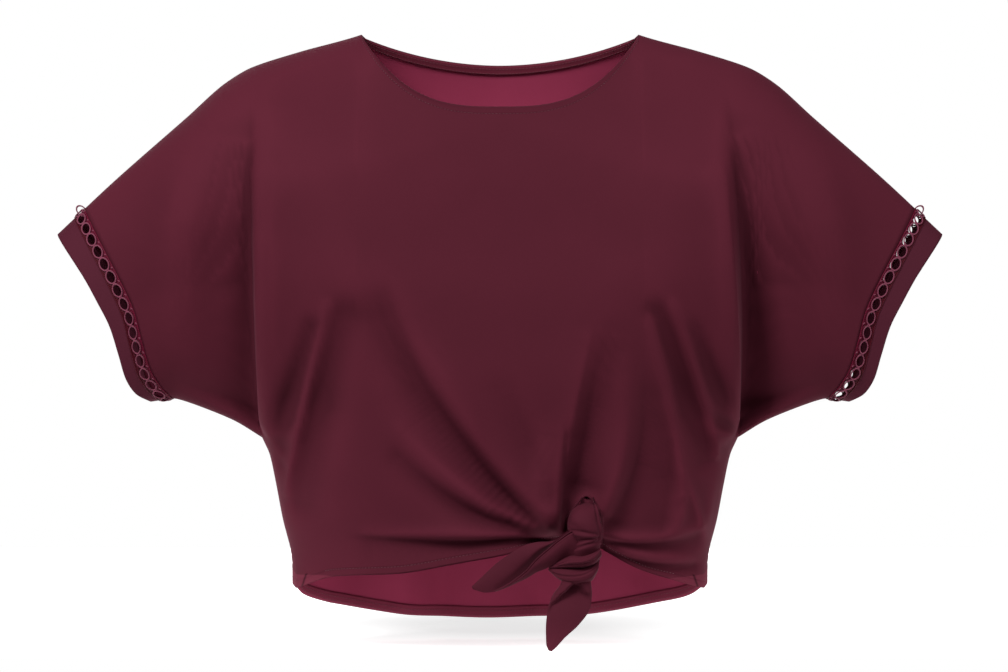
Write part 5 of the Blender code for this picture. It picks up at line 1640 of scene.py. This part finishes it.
class BLOUSE_OT_tie_ends(BlouseOperator):
    """Shape the two tie ends that leave the knot."""

    bl_idname = "blouse.tie_ends"
    bl_label = "Tie ends"

    STEPS = 8
    ACROSS = 48
    SET_BACK = 0.0020
    CLEAR = 0.0022
    FOLLOW = 0.35
    THICKNESS = 0.0011
    TUCK = 0.08
    PETAL_STAND = 0.50
    PETAL_ROUND = 0.8
    VALLEY = 0.0016
    VALLEY_WIDTH = 0.30
    FLAP_FULL = 0.004
    FLAP_ENDS = 0.12
    FLAP_GAP = 0.0006
    FLAP_FALL = 0.75
    FLAP_CURVE = 1.6
    FLAP_STAND = 0.30
    # Lines pressed in beside the flap's rolled edge: how far each rises, its place past the edge, its width
    EDGE_LINES = ((0.0007, 0.0004, 0.0006), (-0.0008, 0.0016, 0.0005), (0.0003, 0.0026, 0.0006))
    # The lower end's hollow: its two sides across the leaf by the share of its length, how soft they are,
    # its depth, and where that fades out
    HOLLOW_LEFT = ((0.0, 0.09, 0.40, 1.0), (0.45, 0.43, 0.07, -0.3))
    HOLLOW_RIGHT = ((0.0, 0.09, 0.30, 1.0), (0.48, 0.54, 0.95, 1.5))
    HOLLOW_SOFT = (0.018, 0.060)
    HOLLOW = 0.0095
    HOLLOW_FADE = (0.15, 0.72)
    DOME_ROUND = 0.6
    DOME_EDGE = 0.15

    def lay(self, name, flat, forward, replaced):
        """Lays a leaf's grid in front of the blouse's front and gives it its thickness."""
        base = np.minimum(knot_plane() - self.SET_BACK, front_point(flat)[..., 1] - self.CLEAR)
        level = base.min(axis=1, keepdims=True)
        base = level + (base - level) * self.FOLLOW
        made = sheet_mesh(np.stack([flat[..., 0], base - forward, flat[..., 1]], axis=-1))
        point_out(made, way=FRONTWARDS)
        return new_piece(name, made, ["crepe knot"] * 2, replaced, thickness=self.THICKNESS)

    def left(self):
        """A petal, and a flap folded forward over its lower part with a doubled, rolled edge."""
        first, second, front, edge, flap = section_lines(LEFT_TIE, self.STEPS)
        edge = np.clip(edge, 0.02, 0.95)
        strong = np.clip(flap / self.FLAP_FULL, 0.0, 1.0)
        steps = np.linspace(0.0, 1.0, self.ACROSS + 1)[None]
        across = steps * np.minimum(edge + self.TUCK, 1.0)
        belly = np.sin(np.clip(across / np.maximum(edge, 0.05), 0.0, 1.0) * math.pi) ** self.PETAL_ROUND
        valley = self.VALLEY * (smooth_step(across, edge - self.VALLEY_WIDTH, edge) * strong)
        flat = first + (second - first) * across[..., None]
        petal = self.lay("left_tie_cloth", flat, front * self.PETAL_STAND * belly - valley, ["left_tie_end"])
        across = edge + (1.0 - edge) * steps
        into = (across - edge) * np.linalg.norm(second - first, axis=-1)
        lines = sum(rise * bell(into - place, width) for rise, place, width in self.EDGE_LINES)
        fall = 1.0 - self.FLAP_FALL * steps**self.FLAP_CURVE
        forward = flap * fall + front * self.FLAP_STAND * np.sin(steps * math.pi)
        forward = forward + lines * strong + self.FLAP_GAP
        flat = first + (second - first) * across[..., None]
        keep = max(2, int(np.argmax(strong[:, 0] < self.FLAP_ENDS)))
        fold = self.lay("left_tie_flap", flat[:keep], forward[:keep], [])

    def lower(self):
        """A leaf with two lobes and a hollow between them that opens downwards from the knot."""
        first, second, front, hollow = section_lines(LOWER_TIE, self.STEPS)
        across = np.linspace(0.0, 1.0, self.ACROSS + 1)[None]
        length = np.linspace(0.0, 1.0, len(first))[:, None]
        left, right = np.interp(length, *self.HOLLOW_LEFT), np.interp(length, *self.HOLLOW_RIGHT)
        between = 1.0 / (1.0 + np.exp(-(across - left) / self.HOLLOW_SOFT[0]))
        between = between / (1.0 + np.exp((across - right) / self.HOLLOW_SOFT[1]))
        depth = self.HOLLOW * (1.0 - smooth_step(length, *self.HOLLOW_FADE)) * np.clip(hollow, 0.0, 1.0)
        dome = self.DOME_EDGE + (1.0 - self.DOME_EDGE) * np.sin(across * math.pi) ** self.DOME_ROUND
        flat = first + (second - first) * across[..., None]
        leaf = self.lay("lower_tie_cloth", flat, front * dome - depth * between, ["lower_tie_end"])

    def execute(self, context):
        self.left()
        self.lower()
        return {"FINISHED"}


class BLOUSE_OT_stitching(BlouseOperator):
    """Sew the rows of stitches round the neck and along both hems."""

    bl_idname = "blouse.stitching"
    bl_label = "Stitching"

    NEAR_EDGE = 0.0022
    CORNER = 0.142
    THREAD_GAP = 0.0004

    def execute(self, context):
        look, front, back = settings(), panel_called("front"), panel_called("back")
        inside = LAYERS_INSIDE * look.thickness + self.THREAD_GAP
        stitch_run("front_neck_stitches", *front.line(front.neck, front.from_top, look.neck_stitch))
        body, slit = front.body, front.slit
        for number, span in enumerate((slice(body.start, slit.start + 1), slice(slit.stop, body.stop))):
            line, up = front.line(span, front.from_hem, look.hem_stitch)
            kept = np.abs(line[:, 0]) < self.CORNER
            stitch_run(f"front_hem_stitches_{number}", line[kept], up[kept])
        stitch_run("back_neck_stitches", *back.line(back.neck, back.from_top, look.neck_stitch))
        for number, distance in enumerate((look.neck_stitch, self.NEAR_EDGE)):
            line, up = back.line(back.neck, back.from_top, distance)
            stitch_run(f"inner_neck_stitches_{number}", line - (inside + look.thickness) * up, -up)
        line, up = back.line(back.body, back.from_hem, look.hem_stitch)
        stitch_run("back_hem_stitches_0", line, up)
        near_edge = back.line(back.body, back.from_hem, self.NEAR_EDGE)[0]
        for number, inner in enumerate((line, near_edge)):
            stitch_run(f"inner_hem_stitches_{number}", inner - inside * up, -up)
        return {"FINISHED"}


class BLOUSE_OT_stage(BlouseOperator):
    """Set the pale floor, the soft lights and the camera."""

    bl_idname = "blouse.stage"
    bl_label = "Stage"

    PAPER_OUT = 1.0
    PAPER_ENDS = (-0.135, 1.6)
    # The paper's painted shadow: how its place is stretched, its middle, and how far it reaches
    SHADOW_SHARES = (5.0, 4.2, 0.0)
    SHADOW_MIDDLE = (0.0, -1.0, 0.0)
    SHADOW_REACH = 1.35
    AIM = Vector((0.0, 0.0, -0.24))
    SENSOR = 36.0

    def paper(self, stage):
        """White paper on the floor that glows evenly, with a painted shadow under the hem."""
        low = CAD_BOX[0].z - stage.floor_drop
        out = np.linspace(-self.PAPER_OUT, self.PAPER_OUT, 3)
        made = sheet_mesh(np.array([[(x, y, low) for x in out] for y in self.PAPER_ENDS]))
        bmesh.ops.recalc_face_normals(made, faces=made.faces)
        shader = Shader("white paper")
        place = shader.place()
        fibre = shader.noise(place, 0.004)
        shader.set(Base_Color=shader.tinted((0.80, 0.80, 0.80), 0.97 + fibre * 0.06), Roughness=0.9)
        # Painted shadow: the paper glows less near the hem
        spot = shader.vectors("MULTIPLY_ADD", place, self.SHADOW_SHARES, self.SHADOW_MIDDLE)
        away = shader.vectors("LENGTH", spot, output="Value")
        glow_with_painted_shadow = 1.0 - shader.clamped(self.SHADOW_REACH - away) * stage.contact
        shader.set(Emission_Color=shader.tinted((1.0, 1.0, 1.0), glow_with_painted_shadow), Emission_Strength=1.0)
        new_object("paper", made, [shader.material])

    def light(self, name, place, power, *size):
        """A soft light that looks at the middle of the blouse."""
        lamp = bpy.data.lights.new(name, "AREA")
        lamp.energy = power
        lamp.shape = "RECTANGLE"
        lamp.size, lamp.size_y = size
        thing = bpy.data.objects.new(name, lamp)
        thing.location = place
        thing.rotation_mode = "QUATERNION"
        thing.rotation_quaternion = (self.AIM - thing.location).to_track_quat("-Z", "Y")
        bpy.context.scene.collection.objects.link(thing)

    def surround(self, strength):
        """Light from all round, which the camera sees as white."""
        world = bpy.data.worlds.new("surround")
        world.use_nodes = True
        tree = world.node_tree
        seen = tree.nodes["Background"]
        seen.inputs["Color"].default_value = (1.0, 1.0, 1.0, 1.0)
        lit = tree.nodes.new("ShaderNodeBackground")
        lit.inputs["Strength"].default_value = strength
        path = tree.nodes.new("ShaderNodeLightPath")
        both = tree.nodes.new("ShaderNodeMixShader")
        for number, output in enumerate((path.outputs["Is Camera Ray"], lit.outputs[0], seen.outputs[0])):
            tree.links.new(output, both.inputs[number])
        tree.links.new(both.outputs[0], tree.nodes["World Output"].inputs[0])
        return world

    def execute(self, context):
        scene, stage = context.scene, context.scene.blouse_stage
        scene.view_settings.view_transform = "Standard"
        scene.world = self.surround(stage.surround)
        self.paper(stage)
        self.light("key", (-1.5, -2.4, 1.7), stage.key_power, 1.1, 1.1)
        self.light("fill", (1.3, -2.5, 1.6), stage.fill_power, 1.2, 1.6)
        self.light("back light", (-1.0, 2.6, 1.5), stage.back_power, 1.4, 1.4)
        for name, side in SIDES:
            self.light(name + " rim", (side * 2.6, -0.7, -0.1), stage.rim_power, 0.9, 0.9)
        camera = bpy.data.cameras.new("camera")
        camera.lens = stage.lens
        camera.sensor_width = self.SENSOR
        thing = bpy.data.objects.new("camera", camera)
        thing.location = (stage.camera_out, -stage.camera_distance, stage.camera_height)
        thing.rotation_euler = (math.pi / 2, 0.0, 0.0)
        scene.collection.objects.link(thing)
        scene.camera = thing
        return {"FINISHED"}


OPERATORS = (
    BLOUSE_OT_front,
    BLOUSE_OT_back,
    BLOUSE_OT_slit_edge,
    BLOUSE_OT_neck_facing,
    BLOUSE_OT_cuffs,
    BLOUSE_OT_trim,
    BLOUSE_OT_knot,
    BLOUSE_OT_tie_ends,
    BLOUSE_OT_stitching,
    BLOUSE_OT_stage,
)


class BLOUSE_PT_pieces(bpy.types.Panel):
    """Lists the blouse's pieces and its stage."""

    bl_label = "Blouse"
    bl_idname = "BLOUSE_PT_pieces"
    bl_space_type = "VIEW_3D"
    bl_region_type = "UI"
    bl_category = "Blouse"

    def draw(self, context):
        for operator in OPERATORS:
            self.layout.operator(operator.bl_idname)
        for group in (context.scene.blouse, context.scene.blouse_stage):
            for name in group.__annotations__:
                self.layout.prop(group, name)


CLASSES = (ClothSettings, StageSettings, *OPERATORS, BLOUSE_PT_pieces)


def register():
    for kind in CLASSES:
        bpy.utils.register_class(kind)
    bpy.types.Scene.blouse = PointerProperty(type=ClothSettings)
    bpy.types.Scene.blouse_stage = PointerProperty(type=StageSettings)


def unregister():
    del bpy.types.Scene.blouse_stage
    del bpy.types.Scene.blouse
    for kind in reversed(CLASSES):
        bpy.utils.unregister_class(kind)


def main():
    register()
    for operator in OPERATORS:
        group, name = operator.bl_idname.split(".")
        getattr(getattr(bpy.ops, group), name)()


if __name__ == "__main__":
    main()
